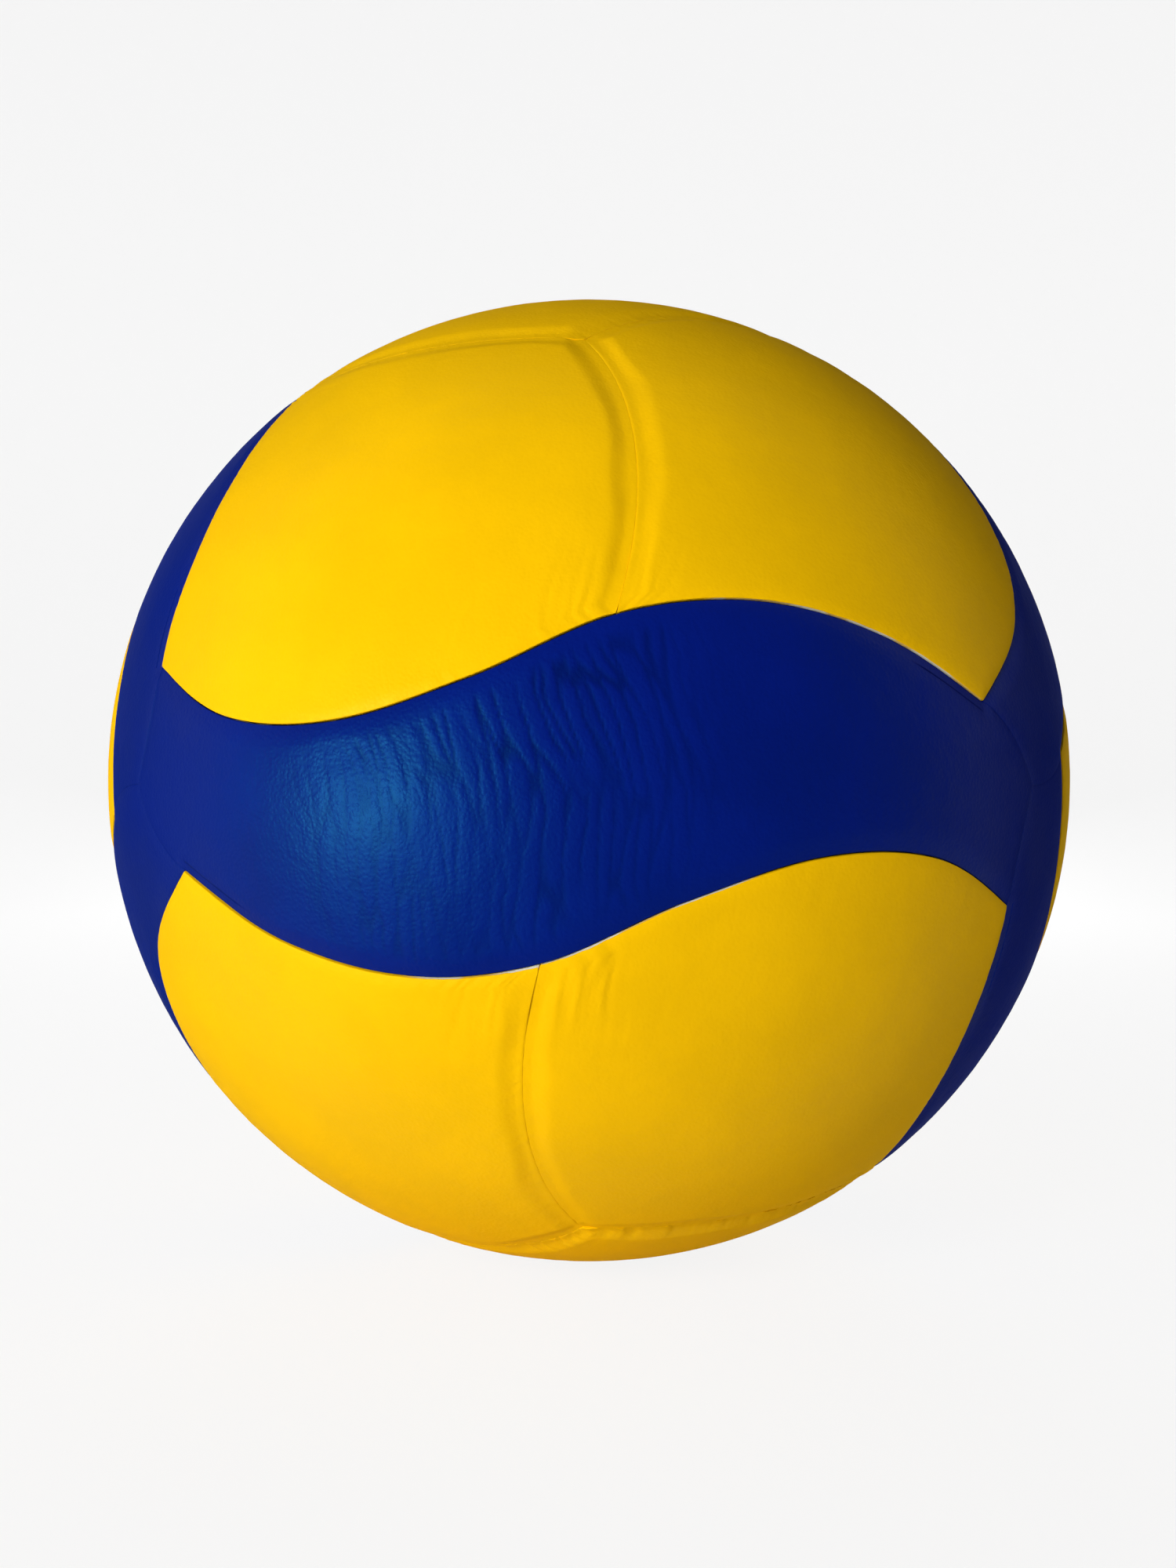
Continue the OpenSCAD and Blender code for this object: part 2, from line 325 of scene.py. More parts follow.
class BallColours(bpy.types.PropertyGroup):
    """Colours of the pieces, as linear light."""

    blue: colour_property("Blue", "Blue cover", 0.001, 0.006, 0.142)
    yellow: colour_property("Yellow", "Yellow cover", 0.86, 0.485, 0.001)
    blue_shine: colour_property("Blue shine", "Tint of the blue cover's shine", 0.01, 0.55, 1.0)
    yellow_shine: colour_property(
        "Yellow shine", "Tint of the yellow cover's shine", 1.0, 0.8, 0.12
    )
    pale_edge: colour_property("Pale edge", "Cut edge of a yellow panel", 0.75, 0.71, 0.58)
    dark_edge: colour_property("Dark edge", "Cut edge of a blue panel", 0.01, 0.012, 0.04)
    foam: colour_property("Foam", "Foam backing", 0.3, 0.27, 0.2)
    rubber: colour_property("Rubber", "Carcass, patch and bladder", 0.012, 0.012, 0.013)
    thread: colour_property("Thread", "Nylon thread", 0.7, 0.7, 0.65)
    valve: colour_property("Valve", "Valve body", 0.5, 0.48, 0.42)
    core: colour_property("Core", "Soft valve core", 0.03, 0.03, 0.032)


class StageLook(bpy.types.PropertyGroup):
    """The camera and the plain studio."""

    distance: number_property(
        "Camera distance", "Distance from the camera to the ball's centre, in ball radii", 3.686
    )
    yaw: angle_property("Yaw", "Turn of the ball to the left of the view", -1.05)
    pitch: angle_property("Pitch", "Lean of the ball towards the view", 0.87)
    roll: angle_property("Roll", "Roll of the ball in the view", 0.12)
    ball_pixels: number_property(
        "Ball radius", "Radius of the ball in the picture, in pixels", 613.4
    )
    centre_x: number_property("Centre X", "Ball's centre in the picture, in pixels", 751.3)
    centre_y: number_property("Centre Y", "Ball's centre in the picture, in pixels", 995.4)
    key_power: power_property(
        "Key power", "Power of the soft light at the left, which adds no shine", 10.0
    )
    key_azimuth: angle_property(
        "Key azimuth", "Place of that light, to the right of the front", -29
    )
    key_height: angle_property("Key height", "Place of that light, above the middle", 12)
    key_distance: length_property("Key distance", "Distance of that light", 1.05)
    key_size: length_property("Key size", "Width of that light", 0.45)
    shine_power: power_property(
        "Shine power", "Power of the light farther to the left, which only adds shine", 5.6
    )
    shine_azimuth: angle_property(
        "Shine azimuth", "Place of that light, to the right of the front", -43
    )
    shine_height: angle_property("Shine height", "Place of that light, above the middle", -4)
    shine_distance: length_property("Shine distance", "Distance of that light", 0.6)
    shine_size: length_property("Shine size", "Width of that light", 0.06)
    rear_power: power_property(
        "Rear power", "Power of the soft light behind the ball, which the front doesn't see", 8.0
    )
    sky: number_property("Sky", "Strength of the dim light from all round", 0.06)
    seen_sky: number_property(
        "Seen sky", "Strength of the sky where the camera or a glossy surface sees it", 0.905
    )
    backdrop: colour_property("Backdrop", "Floor and backdrop", 0.968, 0.968, 0.968)


class VolleyballSettings(bpy.types.PropertyGroup):
    """All settings of the ball."""

    sizes: PointerProperty(type=BallSizes)
    outline: PointerProperty(type=PanelOutline)
    seams: PointerProperty(type=SeamLook)
    leather: PointerProperty(type=LeatherLook)
    colours: PointerProperty(type=BallColours)
    stage: PointerProperty(type=StageLook)


# Places on the unit sphere, as arrays of points


def unit(v):
    """Vectors divided by their lengths."""
    return v / np.linalg.norm(v, axis=-1, keepdims=True)


def place(azimuth, elevation):
    """Point at an azimuth to the right of the front and an elevation above the middle."""
    return np.stack(
        [
            np.sin(azimuth) * np.cos(elevation),
            -np.cos(azimuth) * np.cos(elevation),
            np.sin(elevation) + 0 * azimuth,
        ],
        axis=-1,
    )


def turned(p, axis, angle):
    """Points turned about an axis by the right-hand rule.

    The part of each that lies along the axis stays, and the rest goes round on a circle.
    """
    axis = np.asarray(axis, float)
    along = (p @ axis)[..., None] * axis
    across = np.cross(axis, p)
    return p * math.cos(angle) + across * math.sin(angle) + along * (1 - math.cos(angle))


def reached(p, q, turn, reach):
    """Point at a distance from p, in a direction turned from the way to q."""
    ahead = turned(unit(q - p * (p @ q)), p, turn)
    return p * math.cos(reach) + ahead * math.sin(reach)


def bowed(p, q, bow, t):
    """Points on the arc from p to q, pushed to the right by the bow times 4 t (1 - t)."""
    side = unit(np.cross(q, p))
    whole = math.acos(float(p @ q))
    t = np.asarray(t, float)[..., None]
    arc = (p * np.sin(whole * (1 - t)) + q * np.sin(whole * t)) / math.sin(whole)
    push = bow * 4 * t * (1 - t)
    return arc * np.cos(push) + side * np.sin(push)


def height_at(heights, t):
    """A smooth curve through evenly spaced heights: a Catmull-Rom cubic between each two."""
    ends = [2 * heights[0] - heights[1]], [2 * heights[-1] - heights[-2]]
    h = np.concatenate([ends[0], heights, ends[1]])
    last = len(heights) - 1
    k = np.minimum(np.floor(t * last).astype(int), last - 1)
    f = t * last - k
    a, b, c, d = h[k], h[k + 1], h[k + 2], h[k + 3]
    return b + f * (c - a + f * (2 * a - 5 * b + 4 * c - d + f * (3 * (b - c) + d - a))) / 2


def smooth(low, high, x):
    """0 below low, 1 above high, and the S-curve 3 t² - 2 t³ between."""
    t = np.clip((x - low) / (high - low), 0, 1)
    return t * t * (3 - 2 * t)


# The outline of the two kinds of panel

EDGE_HEIGHT_SHARES = np.array([0.04, 0, 0.35, 0.87, 1, 0.75])
THIRD = math.radians(120)
FRONT = np.array([0.0, -1.0, 0.0])
LEFT_CORNER = np.array([-math.sqrt(2 / 3), -math.sqrt(1 / 3), 0.0])
FACE_MIDDLE = np.array([0.0, -math.sqrt(1 / 3), math.sqrt(2 / 3)])
# Step along a side for its direction, and stations and steps for its length and distance
SIDE_STEP = 0.001
LENGTH_STATIONS = 40
DISTANCE_STEPS = 120


def long_edge_curve(outline):
    """Upper long edge of the front band, from its left tip to its right tip.

    Its height above the band's centre line follows the smooth curve through the shares
    of the way from the trough to the crest, between the heights of the two tips.
    """
    left = reached(LEFT_CORNER, FRONT, outline.tip_turn, outline.tip_reach)
    lower = reached(LEFT_CORNER, FRONT, outline.tip_turn - THIRD, outline.tip_reach)
    right = turned(lower, FRONT, math.pi)
    rise = outline.crest_height - outline.trough_height
    inner = outline.trough_height + EDGE_HEIGHT_SHARES * rise
    heights = np.concatenate([[math.asin(left[2])], inner, [math.asin(right[2])]])
    azimuths = [math.atan2(p[0], -p[1]) for p in (left, right)]

    def curve(t):
        """Points at shares t of the way in azimuth."""
        t = np.asarray(t, float)
        return place(azimuths[0] * (1 - t) + azimuths[1] * t, height_at(heights, t))

    return curve


def panel_sides(kind, outline):
    """Sides of a panel as (curve, seam), counter-clockwise seen from outside.

    The seam is "colour" between blue and yellow, "groove" between two yellow panels and
    "bands" between two blue ones. The list starts with the lower long side.
    """
    edge = long_edge_curve(outline)
    tip = edge(np.array(0.0))
    junction = edge(np.array(outline.seam_place))

    def band_seam(t):
        """From the left corner up to the tip."""
        return bowed(LEFT_CORNER, tip, outline.blue_bow, t)

    def lower_band_seam(t):
        """The same seam a third of a turn on, down from the corner."""
        return turned(band_seam(t), LEFT_CORNER, -THIRD)

    def groove(t):
        """From the band's long edge to the middle of the tetrahedron's face."""
        return bowed(junction, FACE_MIDDLE, outline.yellow_bow, t)

    if kind == "blue":
        return (
            (lambda t: turned(edge(1 - t), FRONT, math.pi), "colour"),
            (lambda t: turned(band_seam(1 - t), FRONT, math.pi), "bands"),
            (lambda t: turned(lower_band_seam(t), FRONT, math.pi), "bands"),
            (lambda t: edge(1 - t), "colour"),
            (lambda t: band_seam(1 - t), "bands"),
            (lambda t: lower_band_seam(t), "bands"),
        )
    share = outline.seam_place
    return (
        (lambda t: edge(t * share), "colour"),
        (groove, "groove"),
        (lambda t: turned(groove(1 - t), FACE_MIDDLE, -THIRD), "groove"),
        (lambda t: turned(edge(share + t * (1 - share)), FACE_MIDDLE, -THIRD), "colour"),
    )


def side_counts(kind, columns):
    """How many faces lie along each side, and the grid's columns and rows.

    A band is two sevenths as high as it is long, and a yellow panel four fifths.
    """
    if kind == "blue":
        half = round(columns / 7)
        return (columns, half, half, columns, half, half), columns, 2 * half
    long, short = columns // 2, 2 * columns // 5
    return (long, short, long, short), long, short


def inward(curve, t):
    """Unit vectors that point into the panel, square to the side, at t along it."""
    low = np.clip(t - SIDE_STEP, 0, 1)
    high = np.clip(t + SIDE_STEP, 0, 1)
    return unit(np.cross(curve(t), curve(high) - curve(low)))


def outline_ring(sides, counts, insets):
    """A panel's outline moved in by insets, in radii, as unit vectors.

    Each side is moved square to itself, and cut short at its ends by what the corner
    takes, so that the moved sides meet on the corner's bisector. insets has one value
    for each point of the ring.
    """
    zero, one = np.array(0.0), np.array(1.0)
    points, first = [], 0
    for i, (curve, _) in enumerate(sides):
        before, after = sides[i - 1][0], sides[(i + 1) % len(sides)][0]
        n_start, n_end = inward(curve, zero), inward(curve, one)
        n_before, n_after = inward(before, one), inward(after, zero)
        shift = (n_before + n_start) / (1 + n_before @ n_start)
        end_shift = (n_end + n_after) / (1 + n_end @ n_after)
        d = insets[first : first + counts[i]]
        d_end = insets[(first + counts[i]) % len(insets)]
        steps = np.diff(curve(np.linspace(0, 1, LENGTH_STATIONS)), axis=0)
        length = np.linalg.norm(steps, axis=1).sum()
        skip = d[0] * np.linalg.norm(shift - n_start) / length
        stop = 1 - d_end * np.linalg.norm(end_shift - n_end) / length
        t = skip + (stop - skip) * np.arange(counts[i]) / counts[i]
        moved = curve(t) + d[:, None] * inward(curve, t)
        moved[0] = curve(zero) + d[0] * shift
        points.append(unit(moved))
        first += counts[i]
    return np.concatenate(points)


def grid_border(columns, rows):
    """Grid indexes of the border, counter-clockwise from the lower left corner."""
    wide = columns + 1
    bottom = np.arange(columns)
    right = columns + wide * np.arange(rows)
    top = wide * rows + columns - np.arange(columns)
    left = wide * (rows - np.arange(rows))
    return np.concatenate([bottom, right, top, left])


def coons_patch(ring, columns, rows):
    """A grid of unit vectors inside a ring, in rows from the lower side.

    Each point is the sum of the blends between opposite sides, less the blend of the
    four corners, carried back onto the sphere.
    """
    a, b, c = columns, columns + rows, 2 * columns + rows
    bottom = ring[: a + 1]
    right = ring[a : b + 1]
    top = ring[b : c + 1][::-1]
    left = np.concatenate([ring[c:], ring[:1]])[::-1]
    u = np.linspace(0, 1, columns + 1)[None, :, None]
    v = np.linspace(0, 1, rows + 1)[:, None, None]
    across = (1 - v) * bottom[None] + v * top[None]
    along = (1 - u) * left[:, None] + u * right[:, None]
    low_corners = (1 - u) * bottom[0] + u * bottom[-1]
    high_corners = (1 - u) * top[0] + u * top[-1]
    corners = (1 - v) * low_corners + v * high_corners
    return unit(across + along - corners).reshape(-1, 3)


# Smooth random fields

LATTICE = 64
RANDOM_SEED = 20
RANDOM_BLOCK = np.random.default_rng(RANDOM_SEED).random((LATTICE, LATTICE, LATTICE))
PLANE_HEIGHT = 0.37

# Shifts that keep the random fields of the whole ball apart
DENTS, PORES, GAPS, MARGINS, CUTS, BREAKS = 1.0, 2.0, 3.0, 5.0, 9.0, 21.0
# Shifts that are added to a panel's seed for its own fields
PATCHES, WAVER, WANDER, FADE = 3.0, 5.0, 11.0, 29.0
DRIFT, WIDE_FOLDS, THIN_FOLDS, GROUPS_BY_SIDE = 13.0, 17.0, 31.0, 3.0


def noise(points, size, shift):
    """Value noise from -1 to 1, with bumps of a size.

    It blends the values at the corners of a cell of the random block by the smooth
    steps 6 t⁵ - 15 t⁴ + 10 t³.
    """
    q = points / size + shift
    cell = np.floor(q).astype(int)
    f = q - cell
    f = f * f * f * (f * (f * 6 - 15) + 10)
    total = 0.0
    for corner in range(8):
        step = np.array([corner & 1, corner >> 1 & 1, corner >> 2 & 1])
        weight = np.prod(np.where(step, f, 1 - f), axis=-1)
        i = (cell + step) % LATTICE
        total = total + weight * RANDOM_BLOCK[i[..., 0], i[..., 1], i[..., 2]]
    return 2 * total - 1


def flat_noise(x, y, shift):
    """The same noise on a plane through the random block, with bumps of size one."""
    return noise(np.stack([x, y, 0 * x + PLANE_HEIGHT], axis=-1), 1.0, shift)


def cell_borders(x, y, plane):
    """Nought on the borders between the cells round a jittered grid's points, and up to 1.

    It is the distance to the second nearest point less the distance to the nearest.
    """
    column, row = np.floor(x).astype(int), np.floor(y).astype(int)
    nearest = np.full(x.shape, np.inf)
    second = nearest
    for step in range(9):
        a, b = column + step % 3 - 1, row + step // 3 - 1
        point_x = a + RANDOM_BLOCK[a % LATTICE, b % LATTICE, plane]
        point_y = b + RANDOM_BLOCK[a % LATTICE, b % LATTICE, plane + 1]
        away = np.hypot(point_x - x, point_y - y)
        second = np.minimum(second, np.maximum(nearest, away))
        nearest = np.minimum(nearest, away)
    return second - nearest


def creases(along, across, spacing, length, seed):
    """Heights from -1 to 0.3 of creases that run across, at a usual spacing along.

    The creases are the borders of cells as long as length spacings, so they fork and
    join. The places are pulled to and fro first, so that they wander, and noise fades
    some of them.
    """
    swell, valley, least = 0.3, 0.3, 0.3
    wide, fine = 5 * spacing, 1.5 * spacing
    pull = 0.75 * flat_noise(along / wide, across / wide, seed + WANDER)
    pull = pull + 0.16 * flat_noise(along / spacing, across / fine, seed + WAVER)
    x, y = along / spacing + pull, across / (length * spacing) + 0.3 * pull
    border = cell_borders(x, y, seed)
    fade = smooth(-0.5, 0.3, flat_noise(x / 2, 2 * y, seed + FADE))
    depth = least + (1 - least) * fade
    return swell * smooth(0, 1, border) - depth * (1 - smooth(0, valley, border))


def folds(along, across, spacing, length, seed):
    """Heights from -1.35 to 1.35 of soft folds that run across, at a usual spacing along.

    They are noise that is stretched across by length, and a finer one at a third of it.
    """
    far = 4 * spacing
    pull = 0.7 * flat_noise(along / far, across / far, seed + DRIFT)
    x, y = along / spacing, across / (length * spacing)
    wide = flat_noise(1.7 * x + pull, y, seed + WIDE_FOLDS)
    thin = flat_noise(3.4 * x + 2 * pull, y, seed + THIN_FOLDS)
    return wide + 0.35 * thin


# The mesh of a cover panel

# Distances of the rim's rings from the cut edge, closer together towards it
RIM_STEPS = np.array([0, 0.03, 0.07, 0.12, 0.19, 0.28, 0.4, 0.56, 0.78, 1.05, 1.38, 1.75, 2.15]) * MM
# Share of a side over which a value blends into that of the next side
CORNER_BLEND = 0.02
# Width of a cut edge where it doesn't show, and of the edge between like panels
BASE_BEVEL = 0.03 * MM
LIKE_EDGE = 0.01 * MM
# Depth of the cut edge, and how much of it lies above its lip
BEVEL_DEPTH = 0.55 * MM
LIP_SHARE = 0.12
UNDER_ROWS = 6
SEED_COUNT = 40
# Distance from a blue band at which grooves begin to deepen
NEAR_BLUE = 1 * MM


def side_distances(points, sides, radius):
    """Distance in metres from each point to each side, taken as straight steps."""
    columns = []
    for curve, _ in sides:
        stations = curve(np.linspace(0, 1, DISTANCE_STEPS + 1))
        nearest = np.full(len(points), np.inf)
        for start, step in zip(stations[:-1], np.diff(stations, axis=0)):
            share = np.clip((points - start) @ step / (step @ step), 0, 1)
            away = points - start - share[:, None] * step
            nearest = np.minimum(nearest, np.einsum("ij,ij->i", away, away))
        columns.append(np.sqrt(nearest) * radius)
    return np.stack(columns, axis=-1)


def seam_values(sides, counts, **values):
    """One value for each point of a ring, by the kind of seam.

    Near a corner it blends in an S-curve with the next side's value, halfway at the corner.
    """
    own = np.array([values[seam] for _, seam in sides])
    parts = []
    for i, count in enumerate(counts):
        t = np.arange(count) / count
        start = (own[i - 1] - own[i]) / 2
        end = (own[(i + 1) % len(own)] - own[i]) / 2
        near_start = 1 - smooth(0, CORNER_BLEND, t)
        near_end = smooth(1 - CORNER_BLEND, 1, t)
        parts.append(own[i] + start * near_start + end * near_end)
    return np.concatenate(parts)


def pale_shares(name, counts):
    """How far the cut edge shows at each point of the ring, from 0 to 1.

    A stretch rises and falls in S-curves at its two ends.
    """
    fade = 0.06
    shares = []
    for i, count in enumerate(counts):
        t = np.arange(count) / count
        share = 0 * t
        for side, start, end, amount in PALE_STRETCHES.get(name, ()):
            if side == i:
                rise = smooth(start - fade, start + fade, t) if start > 0 else 1
                fall = smooth(end - fade, end + fade, t) if end < 1 else 0
                share = np.maximum(share, amount * rise * (1 - fall))
        shares.append(share)
    return np.concatenate(shares)


def placement(panel):
    """The rotation, as a 3 by 3 array, that carries a panel to its place."""
    third = np.array(Matrix.Rotation(THIRD * panel[2], 3, Vector(FACE_MIDDLE)))
    if panel[1] is None:
        return third
    half = np.array(Matrix.Rotation(math.pi, 3, Vector(HALF_TURN_AXES[panel[1]])))
    return half @ third


def panel_pattern(kind, settings):
    """What all panels of a kind share, worked out once at the front of the ball."""
    sizes = settings.sizes
    columns = sizes.blue_columns if kind == "blue" else sizes.yellow_columns
    sides = panel_sides(kind, settings.outline)
    counts, columns, rows = side_counts(kind, columns)
    border = grid_border(columns, rows)
    even = np.ones(len(border))
    rings = [outline_ring(sides, counts, even * (x / sizes.radius)) for x in RIM_STEPS]
    top = np.concatenate([coons_patch(rings[-1], columns, rows)] + rings[:-1])
    u = np.tile(np.linspace(0, 1, columns + 1), rows + 1)
    v = np.repeat(np.linspace(0, 1, rows + 1), columns + 1)
    rim = len(rings) - 1
    return SimpleNamespace(
        kind=kind,
        sides=sides,
        counts=counts,
        columns=columns,
        rows=rows,
        border=border,
        rim=rim,
        grid_size=len(u),
        distance=side_distances(top, sides, sizes.radius),
        u=np.concatenate([u] + [u[border]] * rim),
        v=np.concatenate([v] + [v[border]] * rim),
        along=np.arctan2(top[:, 0], -top[:, 1]) * sizes.radius,
        across=np.arcsin(top[:, 2]) * sizes.radius,
    )


def colour_distance(distance):
    """Distance to the nearer of the two sides that lie beside the other colour."""
    return np.minimum(distance[:, 0], distance[:, 3])


def margin_drop(pattern, seams, world, shallow):
    """How far the cover lies below the ball's surface at the rolled margins.

    At a distance x from a side the drop is depth * (1 - x / width) ** 1.7 beside another
    colour and between bands. A groove has a flat floor and rises in an S-curve, and is
    shallower near a blue band and along the shallow side. The sides' drops are joined as
    the fourth root of the sum of their fourth powers. Slow noise makes widths and depths
    a little uneven.
    """
    roll_power, join_power = 1.7, 4
    end_share, shallow_share = 0.45, 0.6
    uneven = 1 + 0.25 * noise(world, 11 * MM, MARGINS)
    rolled = {
        "colour": (seams.yellow_drop, seams.yellow_margin),
        "bands": (seams.band_drop, seams.band_margin),
    }
    if pattern.kind == "blue":
        rolled["colour"] = (seams.blue_drop, seams.blue_margin)
    from_blue = colour_distance(pattern.distance)
    depth_share = end_share + (1 - end_share) * smooth(NEAR_BLUE, 14 * MM, from_blue)
    groove_depth = seams.groove_depth * depth_share
    total = 0.0
    for i, (_, seam) in enumerate(pattern.sides):
        x = pattern.distance[:, i] / uneven
        if seam == "groove":
            step = seams.groove_step * (0.5 if i == 1 else -0.5)
            step = step * smooth(NEAR_BLUE, 10 * MM, from_blue)
            rise = 1 - smooth(seams.groove_floor, seams.groove_margin, x)
            drop = (groove_depth + step) * rise * (shallow_share if i == shallow else 1)
        else:
            depth, width = rolled[seam]
            drop = depth * uneven * (1 - np.clip(x / width, 0, 1)) ** roll_power
        total = total + drop**join_power
    return total ** (1 / join_power)


def higher_edge(pattern, seams):
    """How far the higher panel's edge in a groove slopes down to the lower one's.

    In a groove side 2 of one panel lies higher than side 1 of the next. The step between
    them fades out near a blue band and where the grooves meet.
    """
    first = pattern.grid_size
    ring = pattern.distance[first : first + len(pattern.border)]
    side = np.repeat(np.arange(4), pattern.counts)
    t = np.concatenate([np.arange(count) / count for count in pattern.counts])
    taper = smooth(NEAR_BLUE, 10 * MM, colour_distance(ring)) * smooth(0, 0.03, t)
    return np.where(side == 2, seams.groove_step * taper, 0.0)


def blue_relief(pattern, leather, seed):
    """Creases across a blue band, and the depth of their valleys from 0 to 1, which the material
    darkens as painted shade.

    They fade in an S-curve from 0.6 to 1.15 spreads away from the crease middle, a few
    stray ones apart. They are weaker in the band's lower half, and leave a smooth strip
    along the yellow panels. Broad patches of noise vary them. Above the band's centre line
    they lean by a slope.
    """
    along, across = pattern.along, pattern.across
    slope, far, stray, length = 0.34, 16 * MM, 0.08, 8.0
    lean = slope * across * smooth(-14 * MM, 14 * MM, across)
    patches = flat_noise(along / far, across / far, seed + PATCHES)
    away = np.abs(along - leather.crease_middle) / leather.crease_spread
    gather = (1 - smooth(0.6, 1.15, away + 0.25 * patches)) + stray
    strength = gather * (0.6 + 0.4 * smooth(-10 * MM, 8 * MM, across))
    strength = strength * smooth(2.0 * MM, 5.5 * MM, colour_distance(pattern.distance))
    strength = strength * (0.75 + 0.25 * patches)
    lines = creases(along + lean, across, leather.crease_spacing, length, seed)
    return leather.blue_crease * strength * lines, strength * np.clip(-lines, 0, 1)


def yellow_relief(pattern, leather, seed, puckers, gathers):
    """Soft folds square to a yellow panel's sides, and no valleys, so no painted crease shade.

    They fade with the distance x from a side as exp(-(x / reach) ** 2). They are longest
    beside the seam between two yellow panels, where gathers sets their depth, and short
    in its groove, where puckers does.
    """
    side_length, length = 90 * MM, 5.0
    everywhere, short, longer, in_groove = 0.25, 6 * MM, 9 * MM, 4 * MM
    u, v = pattern.u, pattern.v
    low_end, high_end = smooth(0.55, 0.85, u), smooth(0.7, 0.92, v)
    sides = (
        (0, u, 0.7, everywhere + gathers * low_end, short + longer * low_end),
        (3, v, 0.7, everywhere + gathers * high_end, short + longer * high_end),
        (1, v, 1.1, puckers, in_groove),
        (2, u, 1.1, puckers, in_groove),
    )
    relief = 0.0
    for side, share, spacing, amount, reach in sides:
        along, x = share * side_length, pattern.distance[:, side]
        groups = flat_noise(along / (12 * MM), x / (20 * MM), seed + GROUPS_BY_SIDE * side)
        strength = amount * smooth(-0.6, 0.15, groups) * np.exp(-((x / reach) ** 2))
        lines = folds(along, x, leather.crease_spacing * spacing, length, seed + side)
        relief = relief + leather.yellow_crease * strength * lines
    return relief, 0 * relief


def cut_edge(pattern, panel, turn, settings):
    """At each point of the ring, half the seam's gap, the bevel's width and how it shows.

    A yellow panel's bevel is wider where its pale edge shows, and noise breaks that up.
    """
    sides, counts, seams = pattern.sides, pattern.counts, settings.seams
    gap = seam_values(
        sides, counts, colour=seams.colour_gap, bands=seams.like_gap, groove=seams.like_gap
    )
    base = outline_ring(sides, counts, 0 * gap) @ turn.T * settings.sizes.radius
    half_gap = gap / 2 * (1 + 0.35 * noise(base, 7 * MM, GAPS))
    bevel = seam_values(sides, counts, colour=BASE_BEVEL, bands=LIKE_EDGE, groove=LIKE_EDGE)
    if pattern.kind == "blue":
        return half_gap, bevel, seam_values(sides, counts, colour=1.0, bands=0.0)
    rough = 0.75 + 0.35 * noise(base, 2.2 * MM, CUTS)
    breaks = smooth(-0.35, 0.2, noise(base, 4.5 * MM, BREAKS))
    pale = pale_shares(panel[0], counts) * (0.2 + 0.8 * breaks)
    return half_gap, bevel + seams.pale_bevel * pale * rough, smooth(0, 0.2, pale)


def round_edge(pattern, seams, drop):
    """Adds the round of the cut edge, and the soft slope where like panels meet.

    Across its radius the round is a quarter circle. The slope falls with the square of
    the distance left to its end.
    """
    sides, counts = pattern.sides, pattern.counts
    radius = seam_values(
        sides, counts, colour=seams.edge_round, bands=LIKE_EDGE, groove=LIKE_EDGE
    )
    if pattern.kind == "blue":
        slope = seam_values(sides, counts, colour=0.0, bands=seams.line_depth)
    else:
        slope = higher_edge(pattern, seams)
    size = len(pattern.border)
    for k, step in enumerate(RIM_STEPS[:-1]):
        y = np.clip(step / radius, 0, 1)
        first = pattern.grid_size + k * size
        drop[first : first + size] += radius * (1 - np.sqrt(1 - (1 - y) ** 2))
        drop[first : first + size] += slope * (1 - min(step / seams.line_width, 1)) ** 2


